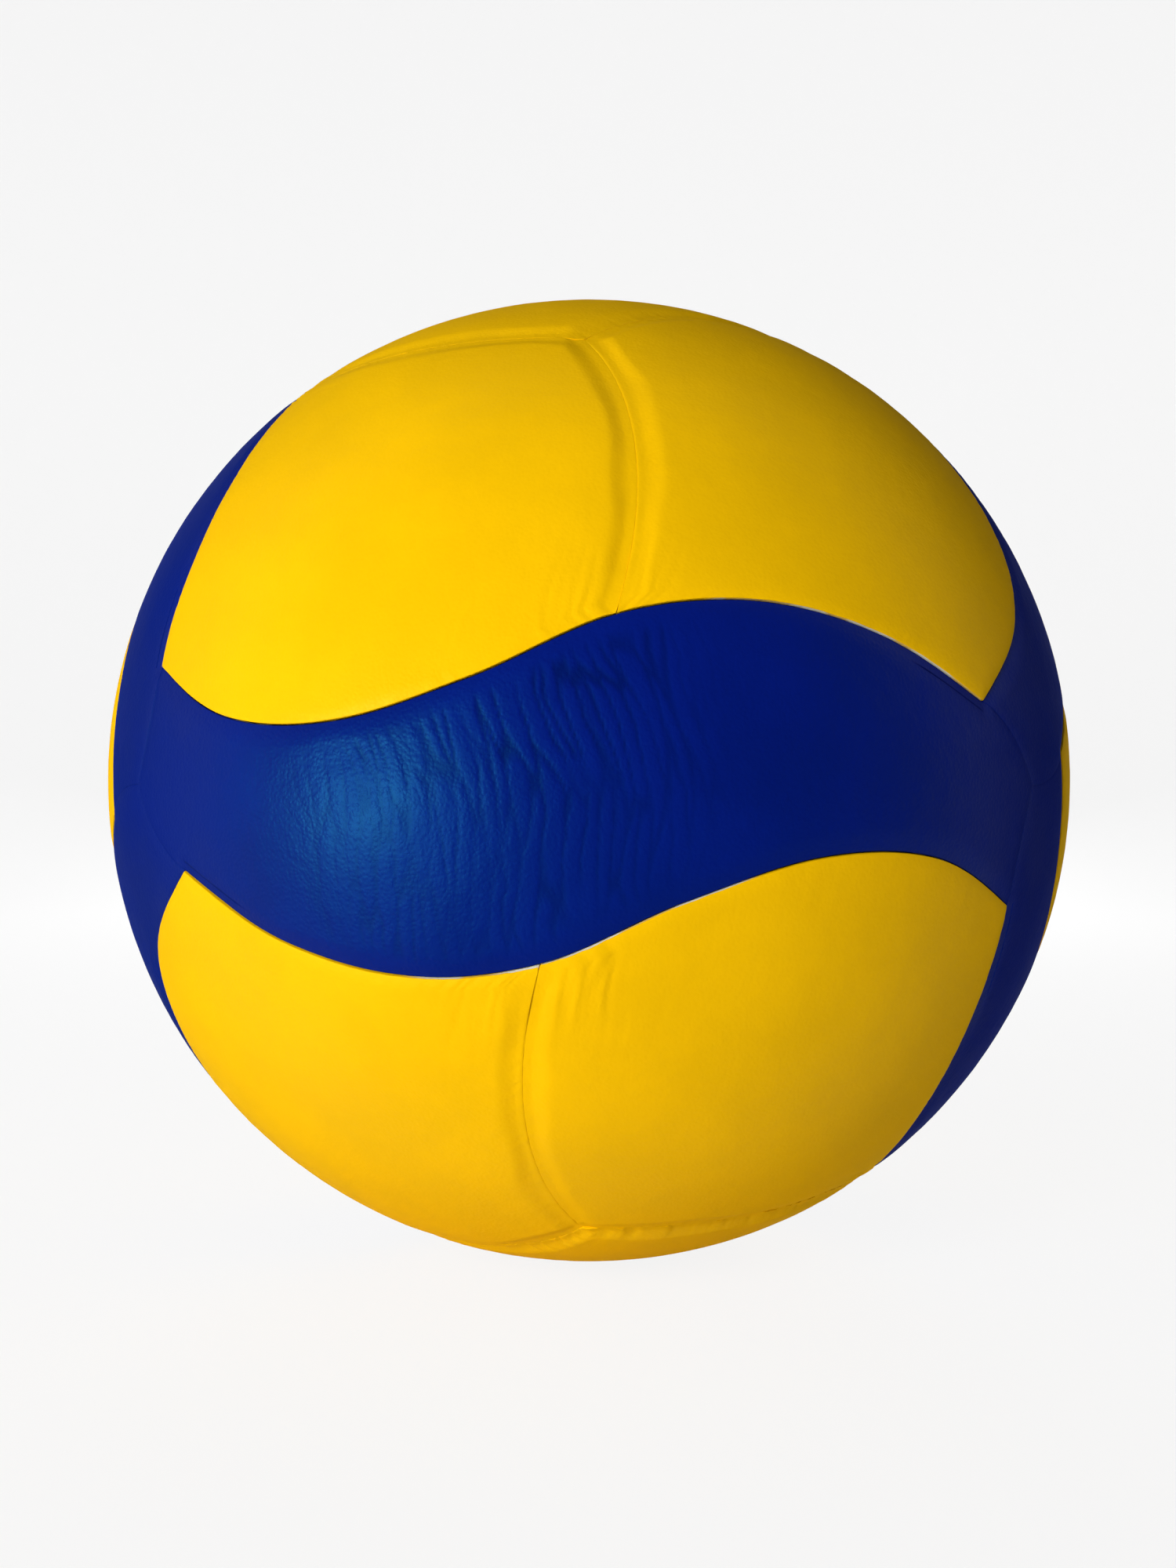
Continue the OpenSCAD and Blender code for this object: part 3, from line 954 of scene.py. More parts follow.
def cover_surface(pattern, panel, settings):
    """Points, faces and marks of one closed cover panel.

    On top, a grid fills the panel within a margin of rings that run parallel to its
    outline. A point lies at the ball's radius, less the drop of the margins and the round
    of the cut edge, plus creases and dents. Below the top lie the cut edge and an
    underside in a few rows.
    """
    name = panel[0]
    sides, counts = pattern.sides, pattern.counts
    columns, rows = pattern.columns, pattern.rows
    seams, leather = settings.seams, settings.leather
    radius = settings.sizes.radius
    turn = placement(panel)
    seed = sum(ord(letter) for letter in name) % SEED_COUNT
    grid_size, ring_size = pattern.grid_size, len(pattern.border)

    half_gap, bevel, shown = cut_edge(pattern, panel, turn, settings)
    rings = [outline_ring(sides, counts, (half_gap + bevel + x) / radius) for x in RIM_STEPS]
    top = np.concatenate([coons_patch(rings[-1], columns, rows)] + rings[:-1])
    world = top @ turn.T * radius

    drop = margin_drop(pattern, seams, world, SHALLOW_GROOVES.get(name))
    round_edge(pattern, seams, drop)
    # valley is the mask of the painted shade that darkens the colour in the crease valleys
    if pattern.kind == "blue":
        relief, valley = blue_relief(pattern, leather, seed)
    else:
        depths = {**USUAL_FOLDS, **DEEPER_FOLDS.get(name, {})}
        relief, valley = yellow_relief(pattern, leather, seed, **depths)
    dents = 0.6 * noise(world, 7 * MM, DENTS) + 0.45 * noise(world, 2.2 * MM, PORES)
    calm = smooth(0.5 * MM, 4 * MM, pattern.distance.min(axis=-1))
    height = radius - drop + relief + leather.dent_depth * dents * calm
    if name == VALVE_PANEL:
        height = height - valve_dip(world)

    edge = top[grid_size : grid_size + ring_size]
    edge_height = height[grid_size : grid_size + ring_size]
    wall = outline_ring(sides, counts, half_gap / radius)
    lip = unit(edge + LIP_SHARE * (wall - edge))
    inner = radius - settings.sizes.cover_thickness
    under_grid = coons_patch(wall, columns, rows).reshape(rows + 1, columns + 1, 3)
    levels = np.linspace(0, rows, UNDER_ROWS + 1).astype(int)
    points = np.concatenate(
        [
            top * height[:, None],
            lip * (edge_height - LIP_SHARE * BEVEL_DEPTH)[:, None],
            wall * (edge_height - BEVEL_DEPTH)[:, None],
            wall * inner,
            under_grid[levels[1:-1], 1:-1].reshape(-1, 3) * inner,
        ]
    )

    quads = cover_faces(pattern)
    first_low = grid_size + (pattern.rim + 2) * ring_size
    lower_quads, lower_ngons = under_faces(columns, levels, ring_size, first_low)
    hidden = np.zeros(len(points) - len(top))
    marks = {
        "cut_edge": np.concatenate([0 * height, shown, shown, hidden[: -2 * ring_size]]),
        # Mask of the painted shade that darkens the colour in the crease valleys
        "painted_crease_shade": np.concatenate([valley, hidden]),
        "place_along": np.concatenate([pattern.along, hidden]),
        "place_across": np.concatenate([pattern.across, hidden]),
    }
    return points @ turn.T, np.concatenate([quads, lower_quads]), lower_ngons, marks


def cover_faces(pattern):
    """Quads of the top grid, of the rings round it and of the cut edge below them.

    The rings of the top are kept from the cut edge inwards, and three more below follow.
    """
    wide, rim = pattern.columns + 1, pattern.rim
    i = (np.arange(pattern.rows)[:, None] * wide + np.arange(pattern.columns)[None]).ravel()
    grid = np.stack([i, i + 1, i + 1 + wide, i + wide], axis=-1)
    size = len(pattern.border)
    starts = pattern.grid_size + size * np.arange(rim + 3)
    order = [*range(rim - 1, -1, -1), *range(rim, rim + 3)]
    loops = [pattern.border] + [starts[k] + np.arange(size) for k in order]
    strips = []
    for inner, outer in zip(loops[:-1], loops[1:]):
        inner_next, outer_next = np.roll(inner, -1), np.roll(outer, -1)
        strips.append(np.stack([inner, outer, outer_next, inner_next], axis=-1))
    return np.concatenate([grid] + strips)


def under_faces(columns, levels, ring_size, first):
    """Faces of the underside: quads between its rows, and polygons at its two ends.

    first is the index of the lowest ring. The inner rows follow it, without their ends,
    which are points of that ring.
    """
    rows = levels[-1]
    right = first + columns
    top = first + columns + rows
    left = first + 2 * columns + rows
    inner = first + ring_size
    lines = [np.arange(first, first + columns + 1)]
    for k in range(1, len(levels) - 1):
        middle = inner + (k - 1) * (columns - 1) + np.arange(columns - 1)
        start = left + rows - levels[k]
        lines.append(np.concatenate([[start], middle, [right + levels[k]]]))
    lines.append(np.arange(top + columns, top - 1, -1))
    lines[-1][0] = left
    quads, ngons = [], []
    for k, (low, high) in enumerate(zip(lines[:-1], lines[1:])):
        quads.append(np.stack([low[1:-2], high[1:-2], high[2:-1], low[2:-1]], axis=-1))
        left_side = left + rows - np.arange(levels[k], levels[k + 1] + 1)
        left_side = np.where(left_side == first + ring_size, first, left_side)
        ngons.append(np.concatenate([left_side, high[1:2], low[1:2]]))
        right_side = right + np.arange(levels[k + 1], levels[k] - 1, -1)
        ngons.append(np.concatenate([right_side, low[-2:-1], high[-2:-1]]))
    return np.concatenate(quads), ngons


def valve_dip(world):
    """Depth by which the cover sinks in an S-curve round the valve's hole."""
    depth, width = 0.35 * MM, 1.6 * MM
    from_axis = np.hypot(world[:, 0], world[:, 2])
    rim = 1 - smooth(VALVE_HOLE, VALVE_HOLE + width, from_axis)
    return np.where(world[:, 1] > 0, depth * rim, 0.0)


def new_piece(name, points, quads, ngons=(), marks=None):
    """A mesh object from arrays of points, quads and other polygons, smooth all over."""
    mesh = bpy.data.meshes.new(name)
    sizes = np.concatenate([np.full(len(quads), 4), [len(n) for n in ngons]]).astype(int)
    corners = np.concatenate([quads.ravel(), *ngons]).astype(int)
    mesh.vertices.add(len(points))
    mesh.vertices.foreach_set("co", points.ravel())
    mesh.loops.add(len(corners))
    mesh.loops.foreach_set("vertex_index", corners)
    mesh.polygons.add(len(sizes))
    mesh.polygons.foreach_set("loop_start", np.concatenate([[0], np.cumsum(sizes)[:-1]]))
    mesh.update(calc_edges=True)
    mesh.validate()
    mesh.shade_smooth()
    for mark, values in (marks or {}).items():
        mesh.attributes.new(mark, "FLOAT", "POINT").data.foreach_set("value", values)
    piece = bpy.data.objects.new(name, mesh)
    bpy.context.scene.collection.objects.link(piece)
    return piece


def finish_piece(piece, material, slot, *nodes):
    """Gives a piece its material, hangs it on the body's empty and hides the imported nodes that it
    stands for.
    """
    piece.data.materials.clear()
    piece.data.materials.append(material)
    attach(piece, BODY)
    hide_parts(*nodes)


# Round pieces

ROUND_STEPS = 96


def swept_rings(profile, steps, closed):
    """Points of a profile carried round +Y in even steps, and the quads between them.

    The profile is (distance from the axis, place along the axis). Each of its points is
    carried round a circle.
    """
    profile = np.array(profile, float)
    angle = np.linspace(0, 2 * math.pi, steps, endpoint=False)
    r, h = profile[:, :1], profile[:, 1:]
    points = np.stack([r * np.sin(angle), h + 0 * angle, r * np.cos(angle)], axis=-1)
    i = np.arange(len(profile) if closed else len(profile) - 1)[:, None]
    low, high = i * steps, (i + 1) % len(profile) * steps
    k = np.arange(steps)
    after = (k + 1) % steps
    quads = np.stack([low + k, low + after, high + after, high + k], axis=-1)
    return points.reshape(-1, 3), quads.reshape(-1, 4)


def lathe(name, profile, steps=ROUND_STEPS):
    """A closed surface of revolution about +Y, from a profile with both ends on the axis."""
    rings, quads = swept_rings(profile[1:-1], steps, closed=False)
    poles = np.array([[0, profile[0][1], 0], [0, profile[-1][1], 0]])
    start, end = len(rings), len(rings) + 1
    last = len(rings) - steps
    k = np.arange(steps)
    after = (k + 1) % steps
    caps = [np.array([start, b, a]) for a, b in zip(k, after)]
    caps += [np.array([end, last + a, last + b]) for a, b in zip(k, after)]
    return new_piece(name, np.concatenate([rings, poles]), quads, caps)


def ring_lathe(name, profile, steps=ROUND_STEPS):
    """A closed ring about +Y, from a profile whose last point joins its first."""
    return new_piece(name, *swept_rings(profile, steps, closed=True))


def rounded(corners, radius, steps=6):
    """A profile whose inner corners are rounded by arcs of up to the given radius.

    Each arc is the quadratic curve whose middle point is the corner, and takes up to 0.45
    of the stretch on either side of it.
    """
    corners = np.array(corners, float)
    points = [corners[0]]
    for before, corner, after in zip(corners[:-2], corners[1:-1], corners[2:]):
        back, ahead = before - corner, after - corner
        reach = min(radius, 0.45 * np.linalg.norm(back), 0.45 * np.linalg.norm(ahead))
        start = corner + reach * back / np.linalg.norm(back)
        end = corner + reach * ahead / np.linalg.norm(ahead)
        t = np.linspace(0, 1, steps)[:, None]
        points.extend((1 - t) ** 2 * start + 2 * t * (1 - t) * corner + t**2 * end)
    points.append(corners[-1])
    return np.array(points)


def pierce(piece, hole_radius, ball_radius):
    """Cuts a round hole along +Y through a piece, by a boolean with a closed cylinder."""
    half = 6 * MM
    low, high = ball_radius - half, ball_radius + half
    outline = [(0, low), (hole_radius, low), (hole_radius, high), (0, high)]
    cutter = lathe("valve_hole_cutter", outline, steps=64)
    modifier = piece.modifiers.new("hole", "BOOLEAN")
    modifier.operation = "DIFFERENCE"
    modifier.solver = "EXACT"
    modifier.object = cutter
    view = bpy.context.evaluated_depsgraph_get()
    cut = bpy.data.meshes.new_from_object(piece.evaluated_get(view))
    piece.modifiers.clear()
    old, piece.data = piece.data, cut
    cut.name = piece.name
    bpy.data.meshes.remove(old)
    bpy.data.objects.remove(cutter)


# Node helpers


def new_material(name):
    """An empty material with its output and a Principled BSDF."""
    material = bpy.data.materials.new(name)
    material.use_nodes = True
    tree = material.node_tree
    tree.nodes.clear()
    output = tree.nodes.new("ShaderNodeOutputMaterial")
    shader = tree.nodes.new("ShaderNodeBsdfPrincipled")
    tree.links.new(shader.outputs["BSDF"], output.inputs["Surface"])
    return material, tree, shader


def feed(tree, socket, value):
    """Links a socket to an output, or sets it to a plain value."""
    if isinstance(value, bpy.types.NodeSocket):
        tree.links.new(value, socket)
    else:
        socket.default_value = value


def add_node(tree, kind, sockets=(), **settings):
    """A node with its settings, and its sockets fed by name or index."""
    node = tree.nodes.new("ShaderNode" + kind)
    for key, value in settings.items():
        setattr(node, key, value)
    for key, value in dict(sockets).items():
        feed(tree, node.inputs[key], value)
    return node


def math_node(tree, operation, first, second):
    """The output of a Math node."""
    return add_node(tree, "Math", {0: first, 1: second}, operation=operation).outputs[0]


def vector_node(tree, operation, first, second):
    """The output of a Vector Math node. When it scales, second is a number."""
    sockets = {0: first, "Scale" if operation == "SCALE" else 1: second}
    return add_node(tree, "VectorMath", sockets, operation=operation).outputs[0]


def noise_node(tree, where, scale, detail, output="Fac"):
    """An output of a Noise Texture node."""
    sockets = {"Vector": where, "Scale": scale, "Detail": detail}
    return add_node(tree, "TexNoise", sockets).outputs[output]


def ramp(tree, source, low, high, start=0.0, end=1.0):
    """The output of a smooth Map Range node."""
    sockets = {"Value": source, "From Min": low, "From Max": high, "To Min": start, "To Max": end}
    node = add_node(tree, "MapRange", sockets, interpolation_type="SMOOTHSTEP")
    return node.outputs["Result"]


def mix_colour(tree, share, first, second):
    """The output of a colour Mix node."""
    node = tree.nodes.new("ShaderNodeMix")
    node.data_type = "RGBA"
    for key, value in ((0, share), (6, first), (7, second)):
        feed(tree, node.inputs[key], value)
    return node.outputs[2]


def mark_value(tree, mark):
    """The output of an Attribute node that reads a mark on the mesh."""
    return add_node(tree, "Attribute", attribute_name=mark).outputs["Fac"]


def rgba(colour, share=1.0, lift=0.0):
    """A colour times a share plus a lift, up to 1, as four numbers."""
    return (*(min(1.0, c * share + lift) for c in colour), 1.0)


def new_group(name, inputs, outputs):
    """A node group with named inputs and their defaults, and its two end nodes."""
    group = bpy.data.node_groups.new(name, "ShaderNodeTree")
    group.interface.new_socket("Position", in_out="INPUT", socket_type="NodeSocketVector")
    for socket, default in inputs.items():
        item = group.interface.new_socket(socket, in_out="INPUT", socket_type="NodeSocketFloat")
        item.default_value = default
    for socket in outputs:
        group.interface.new_socket(socket, in_out="OUTPUT", socket_type="NodeSocketFloat")
    return group, group.nodes.new("NodeGroupInput"), group.nodes.new("NodeGroupOutput")


def put_group(tree, make, position=None, **values):
    """A group's node, fed with a position or else with Object coordinates.

    make is the function that makes the group, the first time, and names it.
    """
    node = tree.nodes.new("ShaderNodeGroup")
    node.node_tree = bpy.data.node_groups.get(make.__name__) or make(make.__name__)
    if position is None:
        position = tree.nodes.new("ShaderNodeTexCoord").outputs["Object"]
    tree.links.new(position, node.inputs["Position"])
    for key, value in values.items():
        node.inputs[key.replace("_", " ")].default_value = value
    return node


def bump(tree, shader, height, strength, distance):
    """Feeds a height into the shader's normal."""
    sockets = {"Height": height, "Strength": strength, "Distance": distance}
    node = add_node(tree, "Bump", sockets)
    tree.links.new(node.outputs["Normal"], shader.inputs["Normal"])


# Shared effects, with the scale of a texture in bumps per metre


def leather_grain(name):
    """Fine pebbled grain: rounded cells with dark joints, and a softer swell under them."""
    group, start, end = new_group(
        name, {"Grain scale": 2000.0, "Wear": 0.5}, ("Height", "Tone", "Gloss")
    )
    position = start.outputs["Position"]
    stir = noise_node(group, position, 700.0, 2.0, "Color")
    pull = vector_node(group, "SCALE", stir, 0.5 * MM)
    moved = vector_node(group, "ADD", position, pull)
    sockets = {"Vector": moved, "Scale": start.outputs["Grain scale"], "Smoothness": 0.35}
    cells = add_node(group, "TexVoronoi", sockets, feature="SMOOTH_F1")
    pebble = ramp(group, cells.outputs["Distance"], 0.1, 0.75, 1.0, 0.0)
    fine = noise_node(group, position, 4200.0, 3.0)
    swell = noise_node(group, position, 420.0, 3.0)
    height = math_node(group, "MULTIPLY", pebble, 0.6)
    height = math_node(group, "ADD", height, math_node(group, "MULTIPLY", fine, 0.25))
    height = math_node(group, "ADD", height, math_node(group, "MULTIPLY", swell, 0.9))
    tone = ramp(group, noise_node(group, position, 38.0, 4.0), 0.3, 0.72)
    worn = math_node(group, "MULTIPLY", tone, start.outputs["Wear"])
    gloss = math_node(group, "ADD", worn, math_node(group, "MULTIPLY", fine, 0.3))
    for socket, value in (("Height", height), ("Tone", tone), ("Gloss", gloss)):
        group.links.new(value, end.inputs[socket])
    return group


def leather_creases(name):
    """Fine creases between long cells that lie across the panel's own places."""
    group, start, end = new_group(name, {"Spacing": 1.0 * MM}, ("Height",))
    position = start.outputs["Position"]
    stir = noise_node(group, position, 70.0, 2.0, "Color")
    centred = vector_node(group, "SUBTRACT", stir, (0.5, 0.5, 0.5))
    pull = vector_node(group, "SCALE", centred, 6 * MM)
    moved = vector_node(group, "ADD", position, pull)
    longer = vector_node(group, "MULTIPLY", moved, (1.0, 0.3, 1.0))
    per_metre = math_node(group, "DIVIDE", 1.0, start.outputs["Spacing"])
    cells = add_node(
        group,
        "TexVoronoi",
        {"Vector": longer, "Scale": per_metre},
        voronoi_dimensions="2D",
        feature="DISTANCE_TO_EDGE",
    )
    group.links.new(ramp(group, cells.outputs["Distance"], 0.0, 0.16), end.inputs["Height"])
    return group


def rubber_skin(name):
    """Moulded rubber: a faint powder bloom and shallow pits."""
    group, start, end = new_group(name, {"Pit scale": 900.0}, ("Height", "Bloom"))
    position = start.outputs["Position"]
    pits = noise_node(group, position, start.outputs["Pit scale"], 5.0)
    cloud = noise_node(group, position, 90.0, 4.0)
    group.links.new(pits, end.inputs["Height"])
    group.links.new(ramp(group, cloud, 0.4, 0.75), end.inputs["Bloom"])
    return group


# Materials


def leather_material(name, colour, edge_colour, shine, level, leather, tones, relief):
    """Grained leather whose cut edge has its own colour, by the marks on the mesh.

    level is how much light it reflects as shine. tones are the darkest and the lightest
    tone, as shares of the colour. relief is the strength of the grain. The shine fades
    where the leather is seen edge-on, and the valleys of the creases get painted shade:
    their colour is darkened.
    """
    material, tree, shader = new_material(name)
    grain = put_group(tree, leather_grain, Grain_scale=1.0 / leather.grain_size, Wear=0.6)
    dark, light = (rgba(colour, tone) for tone in tones)
    toned = mix_colour(tree, grain.outputs["Tone"], dark, light)
    mixed = mix_colour(tree, mark_value(tree, "cut_edge"), toned, rgba(edge_colour))
    # Painted shade: the colour is darkened to 0.35 of itself in the crease valleys
    valley = math_node(tree, "MULTIPLY", mark_value(tree, "painted_crease_shade"), 0.65)
    shaded = mix_colour(tree, valley, mixed, rgba(colour, 0.35))
    tree.links.new(shaded, shader.inputs["Base Color"])

    rough = ramp(tree, grain.outputs["Gloss"], 0.0, 0.9, 0.4, 0.52)
    edge_on = add_node(tree, "LayerWeight", {"Blend": 0.5})
    dull = ramp(tree, edge_on.outputs["Facing"], 0.3, 0.8, 0.0, 0.5)
    tree.links.new(math_node(tree, "ADD", rough, dull), shader.inputs["Roughness"])
    shader.inputs["Specular IOR Level"].default_value = level
    shader.inputs["Specular Tint"].default_value = rgba(shine)

    sockets = {"X": mark_value(tree, "place_along"), "Y": mark_value(tree, "place_across")}
    where = add_node(tree, "CombineXYZ", sockets).outputs["Vector"]
    fine = put_group(tree, leather_creases, where, Spacing=leather.crease_spacing / 2)
    height = math_node(tree, "MULTIPLY", fine.outputs["Height"], 0.12)
    height = math_node(tree, "ADD", grain.outputs["Height"], height)
    bump(tree, shader, height, relief, 0.05 * MM)
    return material


def rubber_material(name, colour, roughness, bloom=1.6):
    """Matte rubber with a faint bloom, as a share of its colour."""
    material, tree, shader = new_material(name)
    skin = put_group(tree, rubber_skin, Pit_scale=900.0)
    mixed = mix_colour(tree, skin.outputs["Bloom"], rgba(colour), rgba(colour, bloom, 0.004))
    tree.links.new(mixed, shader.inputs["Base Color"])
    shader.inputs["Roughness"].default_value = roughness
    bump(tree, shader, skin.outputs["Height"], 0.3, 0.1 * MM)
    return material


def foam_material(colour):
    """Cut foam: small open cells, darkened in their hollows as painted shade."""
    material, tree, shader = new_material("foam_backing")
    where = tree.nodes.new("ShaderNodeTexCoord").outputs["Object"]
    cells = add_node(tree, "TexVoronoi", {"Vector": where, "Scale": 2600.0})
    # Painted shade: the colour darkens towards the middle of each cell, where the bump sinks it
    share = ramp(tree, cells.outputs["Distance"], 0.1, 0.7)
    mixed = mix_colour(tree, share, rgba(colour, 0.55), rgba(colour))
    tree.links.new(mixed, shader.inputs["Base Color"])
    shader.inputs["Roughness"].default_value = 0.9
    bump(tree, shader, cells.outputs["Distance"], 0.6, 0.15 * MM)
    return material


def thread_material(colour):
    """Nylon thread wound in three directions, as crossing stripes, with painted shade in the low
    parts between them.
    """
    material, tree, shader = new_material("nylon_winding")
    where = tree.nodes.new("ShaderNodeTexCoord").outputs["Object"]
    height = 0.0
    for turn in ((0, 0.4, 0), (0.9, 0, 1.1), (2.1, 0.8, 0.2)):
        mapping = add_node(tree, "Mapping", {"Vector": where, "Rotation": turn})
        sockets = {"Vector": mapping.outputs["Vector"], "Scale": 260.0, "Distortion": 0.6}
        stripes = add_node(tree, "TexWave", sockets)
        height = math_node(tree, "MAXIMUM", stripes.outputs["Fac"], height)
    # Painted shade: the colour darkens to half where the stripes are low, between the threads
    mixed = mix_colour(tree, height, rgba(colour, 0.5), rgba(colour))
    tree.links.new(mixed, shader.inputs["Base Color"])
    shader.inputs["Roughness"].default_value = 0.45
    bump(tree, shader, height, 0.8, 0.2 * MM)
    return material


# The studio


def mirrored_ray(tree, path):
    """1 on rays that a glossy or clear surface sends out, from a Light Path node."""
    glossy, clear = path.outputs["Is Glossy Ray"], path.outputs["Is Transmission Ray"]
    return math_node(tree, "MAXIMUM", glossy, clear)


def studio_material(colour):
    """The pale floor: almost plain light for the camera and in mirrors, matte elsewhere."""
    material, tree, shader = new_material("studio_pale")
    shader.inputs["Base Color"].default_value = rgba(colour)
    shader.inputs["Roughness"].default_value = 0.9
    glow = add_node(tree, "Emission", {"Color": rgba(colour), "Strength": 1.0})
    path = tree.nodes.new("ShaderNodeLightPath")
    seen = math_node(tree, "MULTIPLY", path.outputs["Is Camera Ray"], 0.9)
    share = math_node(tree, "MAXIMUM", seen, mirrored_ray(tree, path))
    sockets = {0: share, 1: shader.outputs["BSDF"], 2: glow.outputs["Emission"]}
    mixed = add_node(tree, "MixShader", sockets)
    output = next(n for n in tree.nodes if n.type == "OUTPUT_MATERIAL")
    tree.links.new(mixed.outputs["Shader"], output.inputs["Surface"])
    return material


def add_backdrop(look, radius):
    """A round floor whose rear half curves up into a wall.

    The floor is flat out to 0.9 m. Behind the ball it goes on as a quarter circle of
    0.5 m and a wall. In front, those parts lie flat too.
    """
    flat, bend, wall, rim = 0.9, 0.5, 1.4, 0.05
    turn = np.linspace(0, math.pi / 2, 24)
    out = np.concatenate([[0.15, 0.4], flat + bend * np.sin(turn), [flat + bend + rim]])
    up = np.concatenate([[0, 0], bend * (1 - np.cos(turn)), [wall]])
    steps = 128
    angle = np.linspace(0, 2 * math.pi, steps, endpoint=False)
    behind = smooth(-0.15, 0.15, np.sin(angle))
    x, y = out[:, None] * np.cos(angle), out[:, None] * np.sin(angle)
    rings = np.stack([x, y, up[:, None] * behind - radius], axis=-1)
    points = np.concatenate([rings.reshape(-1, 3), [[0, 0, -radius]]])
    i = np.arange(len(out) - 1)[:, None] * steps
    k = np.arange(steps)
    after = (k + 1) % steps
    quads = np.stack([i + k, i + steps + k, i + steps + after, i + after], axis=-1)
    centre = [np.array([len(points) - 1, a, b]) for a, b in zip(k, after)]
    backdrop = new_piece("studio_floor", points, quads.reshape(-1, 4), centre)
    backdrop.data.materials.append(studio_material(look.backdrop))


def add_lamp(name, power, azimuth, height, distance, size):
    """A square soft light at a place round the ball, turned to its centre."""
    lamp = bpy.data.lights.new(name, "AREA")
    lamp.energy = power
    lamp.size = size
    holder = bpy.data.objects.new(name, lamp)
    holder.location = distance * place(np.array(azimuth), height)
    holder.rotation_euler = holder.location.to_track_quat("Z", "Y").to_euler()
    holder.visible_camera = False
    bpy.context.scene.collection.objects.link(holder)
    return holder


def add_lights(look):
    """A soft light at the left, one for the shine, one behind, and a dim sky seen pale."""
    soft = look.key_height, look.key_distance, look.key_size
    sharp = look.shine_height, look.shine_distance, look.shine_size
    key = add_lamp("key", look.key_power, look.key_azimuth, *soft)
    key.visible_glossy = False
    shine = add_lamp("shine", look.shine_power, look.shine_azimuth, *sharp)
    shine.visible_diffuse = False
    rear = add_lamp("rear", look.rear_power, math.pi, *soft)
    rear.visible_glossy = False

    world = bpy.data.worlds.new("studio_sky")
    world.use_nodes = True
    tree = world.node_tree
    sky = tree.nodes["Background"]
    sky.inputs["Color"].default_value = (1.0, 1.0, 1.0, 1.0)
    path = tree.nodes.new("ShaderNodeLightPath")
    seen = math_node(tree, "MAXIMUM", path.outputs["Is Camera Ray"], mirrored_ray(tree, path))
    added = math_node(tree, "MULTIPLY", seen, look.seen_sky - look.sky)
    tree.links.new(math_node(tree, "ADD", added, look.sky), sky.inputs["Strength"])
    bpy.context.scene.world = world


def add_camera(context, look, radius):
    """A camera at the photograph's place, by the ball's size and place in the picture.

    The ball's outline is a circle of focal length / sqrt(distance² - 1) pixels.
    """
    wide, high, sensor = 1500, 2000, 36
    focal = look.ball_pixels * math.sqrt(look.distance**2 - 1)
    camera = bpy.data.cameras.new("camera")
    camera.sensor_width = sensor
    camera.lens = focal * sensor / high
    camera.shift_x = (wide / 2 - look.centre_x) / high
    camera.shift_y = (look.centre_y - high / 2) / high
    camera.clip_start = 10 * MM
    roll = Matrix.Rotation(look.roll, 4, "Y")
    pitch = Matrix.Rotation(look.pitch, 4, "X")
    yaw = Matrix.Rotation(look.yaw, 4, "Z")
    upright = Matrix.Rotation(math.pi / 2, 4, "X")
    stand = Matrix.Translation((0, -look.distance * radius, 0)) @ upright
    holder = bpy.data.objects.new("camera", camera)
    holder.matrix_world = (roll @ pitch @ yaw).inverted() @ stand
    context.scene.collection.objects.link(holder)
    context.scene.camera = holder


# Operators


def add_covers(kind, panels, leather, settings):
    """Models all cover panels of a kind from their common pattern."""
    pattern = panel_pattern(kind, settings)
    for panel in panels:
        piece = new_piece("panel_" + panel[0], *cover_surface(pattern, panel, settings))
        if panel[0] == VALVE_PANEL:
            pierce(piece, VALVE_HOLE, settings.sizes.radius)
        finish_piece(piece, leather, kind + "_cover", "cover_" + panel[0])


class VOLLEYBALL_OT_blue_covers(bpy.types.Operator):
    """Model the six wavy blue cover panels"""

    bl_idname = "volleyball.blue_covers"
    bl_label = "Blue covers"

    def execute(self, context):
        settings = context.scene.volleyball
        colours = settings.colours
        leather = leather_material(
            "blue_leather",
            colours.blue,
            colours.dark_edge,
            colours.blue_shine,
            level=0.12,
            leather=settings.leather,
            tones=(0.92, 1.08),
            relief=0.85,
        )
        add_covers("blue", BLUE_PANELS, leather, settings)
        return {"FINISHED"}


class VOLLEYBALL_OT_yellow_covers(bpy.types.Operator):
    """Model the twelve yellow cover panels"""

    bl_idname = "volleyball.yellow_covers"
    bl_label = "Yellow covers"

    def execute(self, context):
        settings = context.scene.volleyball
        colours = settings.colours
        leather = leather_material(
            "yellow_leather",
            colours.yellow,
            colours.pale_edge,
            colours.yellow_shine,
            level=0.06,
            leather=settings.leather,
            tones=(0.95, 1.03),
            relief=0.7,
        )
        add_covers("yellow", YELLOW_PANELS, leather, settings)
        return {"FINISHED"}


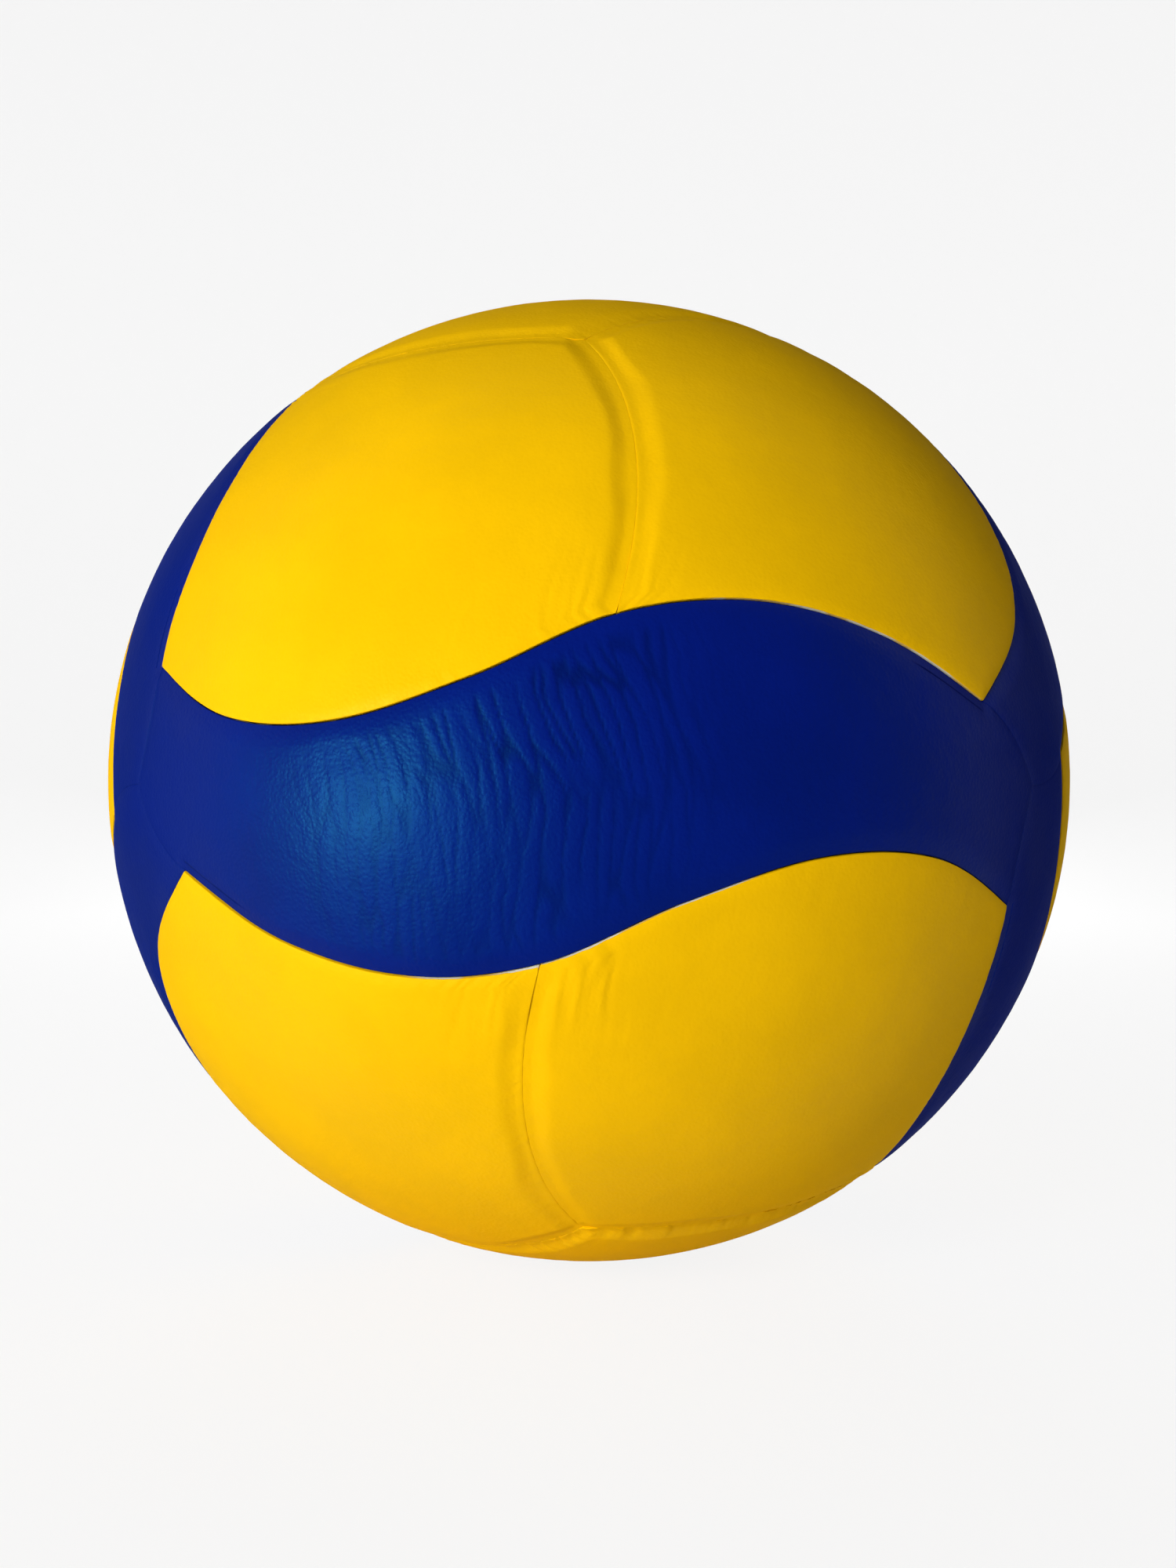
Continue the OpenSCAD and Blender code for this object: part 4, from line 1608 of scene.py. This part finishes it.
class VOLLEYBALL_OT_valve(bpy.types.Operator):
    """Model the rubber valve body and its soft core"""

    bl_idname = "volleyball.valve"
    bl_label = "Valve"

    def execute(self, context):
        colours = context.scene.volleyball.colours
        seat = COLLAR_RADIUS + CORE_GAP
        collar_foot = VALVE_FACE - COLLAR_HEIGHT
        bore = CORE_RADIUS + CORE_GAP
        body = [
            (bore, STEM_END),
            (STEM_RADIUS, STEM_END),
            (STEM_RADIUS, FLANGE_TOP - STEM_SETBACK),
            (FLANGE_RADIUS, FLANGE_TOP - RIM_SETBACK - RIM_HEIGHT),
            (FLANGE_RADIUS, FLANGE_TOP - RIM_SETBACK),
            (NECK_RADIUS, FLANGE_TOP - NECK_SETBACK),
            (NECK_RADIUS, VALVE_FACE),
            (seat, VALVE_FACE),
            (seat, collar_foot - CORE_GAP),
            (bore, collar_foot - CORE_GAP),
            (bore, STEM_END),
        ]
        piece = ring_lathe("valve_body_rubber", rounded(body, 0.35 * MM)[:-1])
        rubber = rubber_material("valve_rubber", colours.valve, 0.55, 1.1)
        finish_piece(piece, rubber, "valve_rubber", "valve_body")
        core = [
            (0, STEM_END),
            (CORE_RADIUS, STEM_END),
            (CORE_RADIUS, collar_foot),
            (COLLAR_RADIUS, collar_foot),
            (COLLAR_RADIUS, VALVE_FACE),
            (2 * NEEDLE_RADIUS, VALVE_FACE - FUNNEL_START),
            (NEEDLE_RADIUS, VALVE_FACE - FUNNEL_END),
            (NEEDLE_RADIUS, VALVE_FACE - NEEDLE_DEPTH),
            (0, VALVE_FACE - NEEDLE_DEPTH),
        ]
        piece = lathe("valve_core_rubber", rounded(core, 0.3 * MM))
        rubber = rubber_material("core_rubber", colours.core, 0.5)
        finish_piece(piece, rubber, "core_rubber", "valve_core")
        return {"FINISHED"}


class VOLLEYBALL_OT_layers(bpy.types.Operator):
    """Finish the foam backings, carcass, winding, bladder and patch"""

    bl_idname = "volleyball.layers"
    bl_label = "Inner layers"

    def execute(self, context):
        colours = context.scene.volleyball.colours
        finishes = {
            "foam": foam_material(colours.foam),
            "carcass": rubber_material("carcass_rubber", colours.rubber, 0.75),
            "winding": thread_material(colours.thread),
            "bladder": rubber_material("bladder_rubber", colours.rubber, 0.35),
        }
        for name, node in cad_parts.items():
            layer = "carcass" if name == "valve_patch" else name.split("_")[0]
            if layer in finishes:
                node.data.materials.clear()
                node.data.materials.append(finishes[layer])
        return {"FINISHED"}


class VOLLEYBALL_OT_stage(bpy.types.Operator):
    """Set the pale studio, its soft lights and the camera"""

    bl_idname = "volleyball.stage"
    bl_label = "Studio"

    def execute(self, context):
        settings = context.scene.volleyball
        look, radius = settings.stage, settings.sizes.radius
        context.scene.view_settings.view_transform = "Standard"
        add_backdrop(look, radius)
        add_lights(look)
        add_camera(context, look, radius)
        return {"FINISHED"}


class VOLLEYBALL_PT_sidebar(bpy.types.Panel):
    """Lists the ball's pieces and settings in the 3D view's sidebar"""

    bl_idname = "VOLLEYBALL_PT_sidebar"
    bl_label = "Volleyball"
    bl_space_type = "VIEW_3D"
    bl_region_type = "UI"
    bl_category = "Volleyball"

    def draw(self, context):
        for operator in OPERATORS:
            self.layout.operator(operator.bl_idname)
        for name in VolleyballSettings.__annotations__:
            group = getattr(context.scene.volleyball, name)
            box = self.layout.box()
            for prop in type(group).__annotations__:
                box.prop(group, prop)


OPERATORS = (
    VOLLEYBALL_OT_blue_covers,
    VOLLEYBALL_OT_yellow_covers,
    VOLLEYBALL_OT_valve,
    VOLLEYBALL_OT_layers,
    VOLLEYBALL_OT_stage,
)
LOOKS = (BallSizes, PanelOutline, SeamLook, LeatherLook, BallColours, StageLook)
CLASSES = LOOKS + (VolleyballSettings,) + OPERATORS + (VOLLEYBALL_PT_sidebar,)


def register():
    """Registers the classes and hangs the settings on the scene."""
    for cls in CLASSES:
        bpy.utils.register_class(cls)
    bpy.types.Scene.volleyball = PointerProperty(type=VolleyballSettings)


def unregister():
    """Undoes what register does."""
    del bpy.types.Scene.volleyball
    for cls in reversed(CLASSES):
        bpy.utils.unregister_class(cls)


def main():
    """Builds everything in order."""
    register()
    bpy.ops.volleyball.blue_covers()
    bpy.ops.volleyball.yellow_covers()
    bpy.ops.volleyball.valve()
    bpy.ops.volleyball.layers()
    bpy.ops.volleyball.stage()


if __name__ == "__main__":
    main()
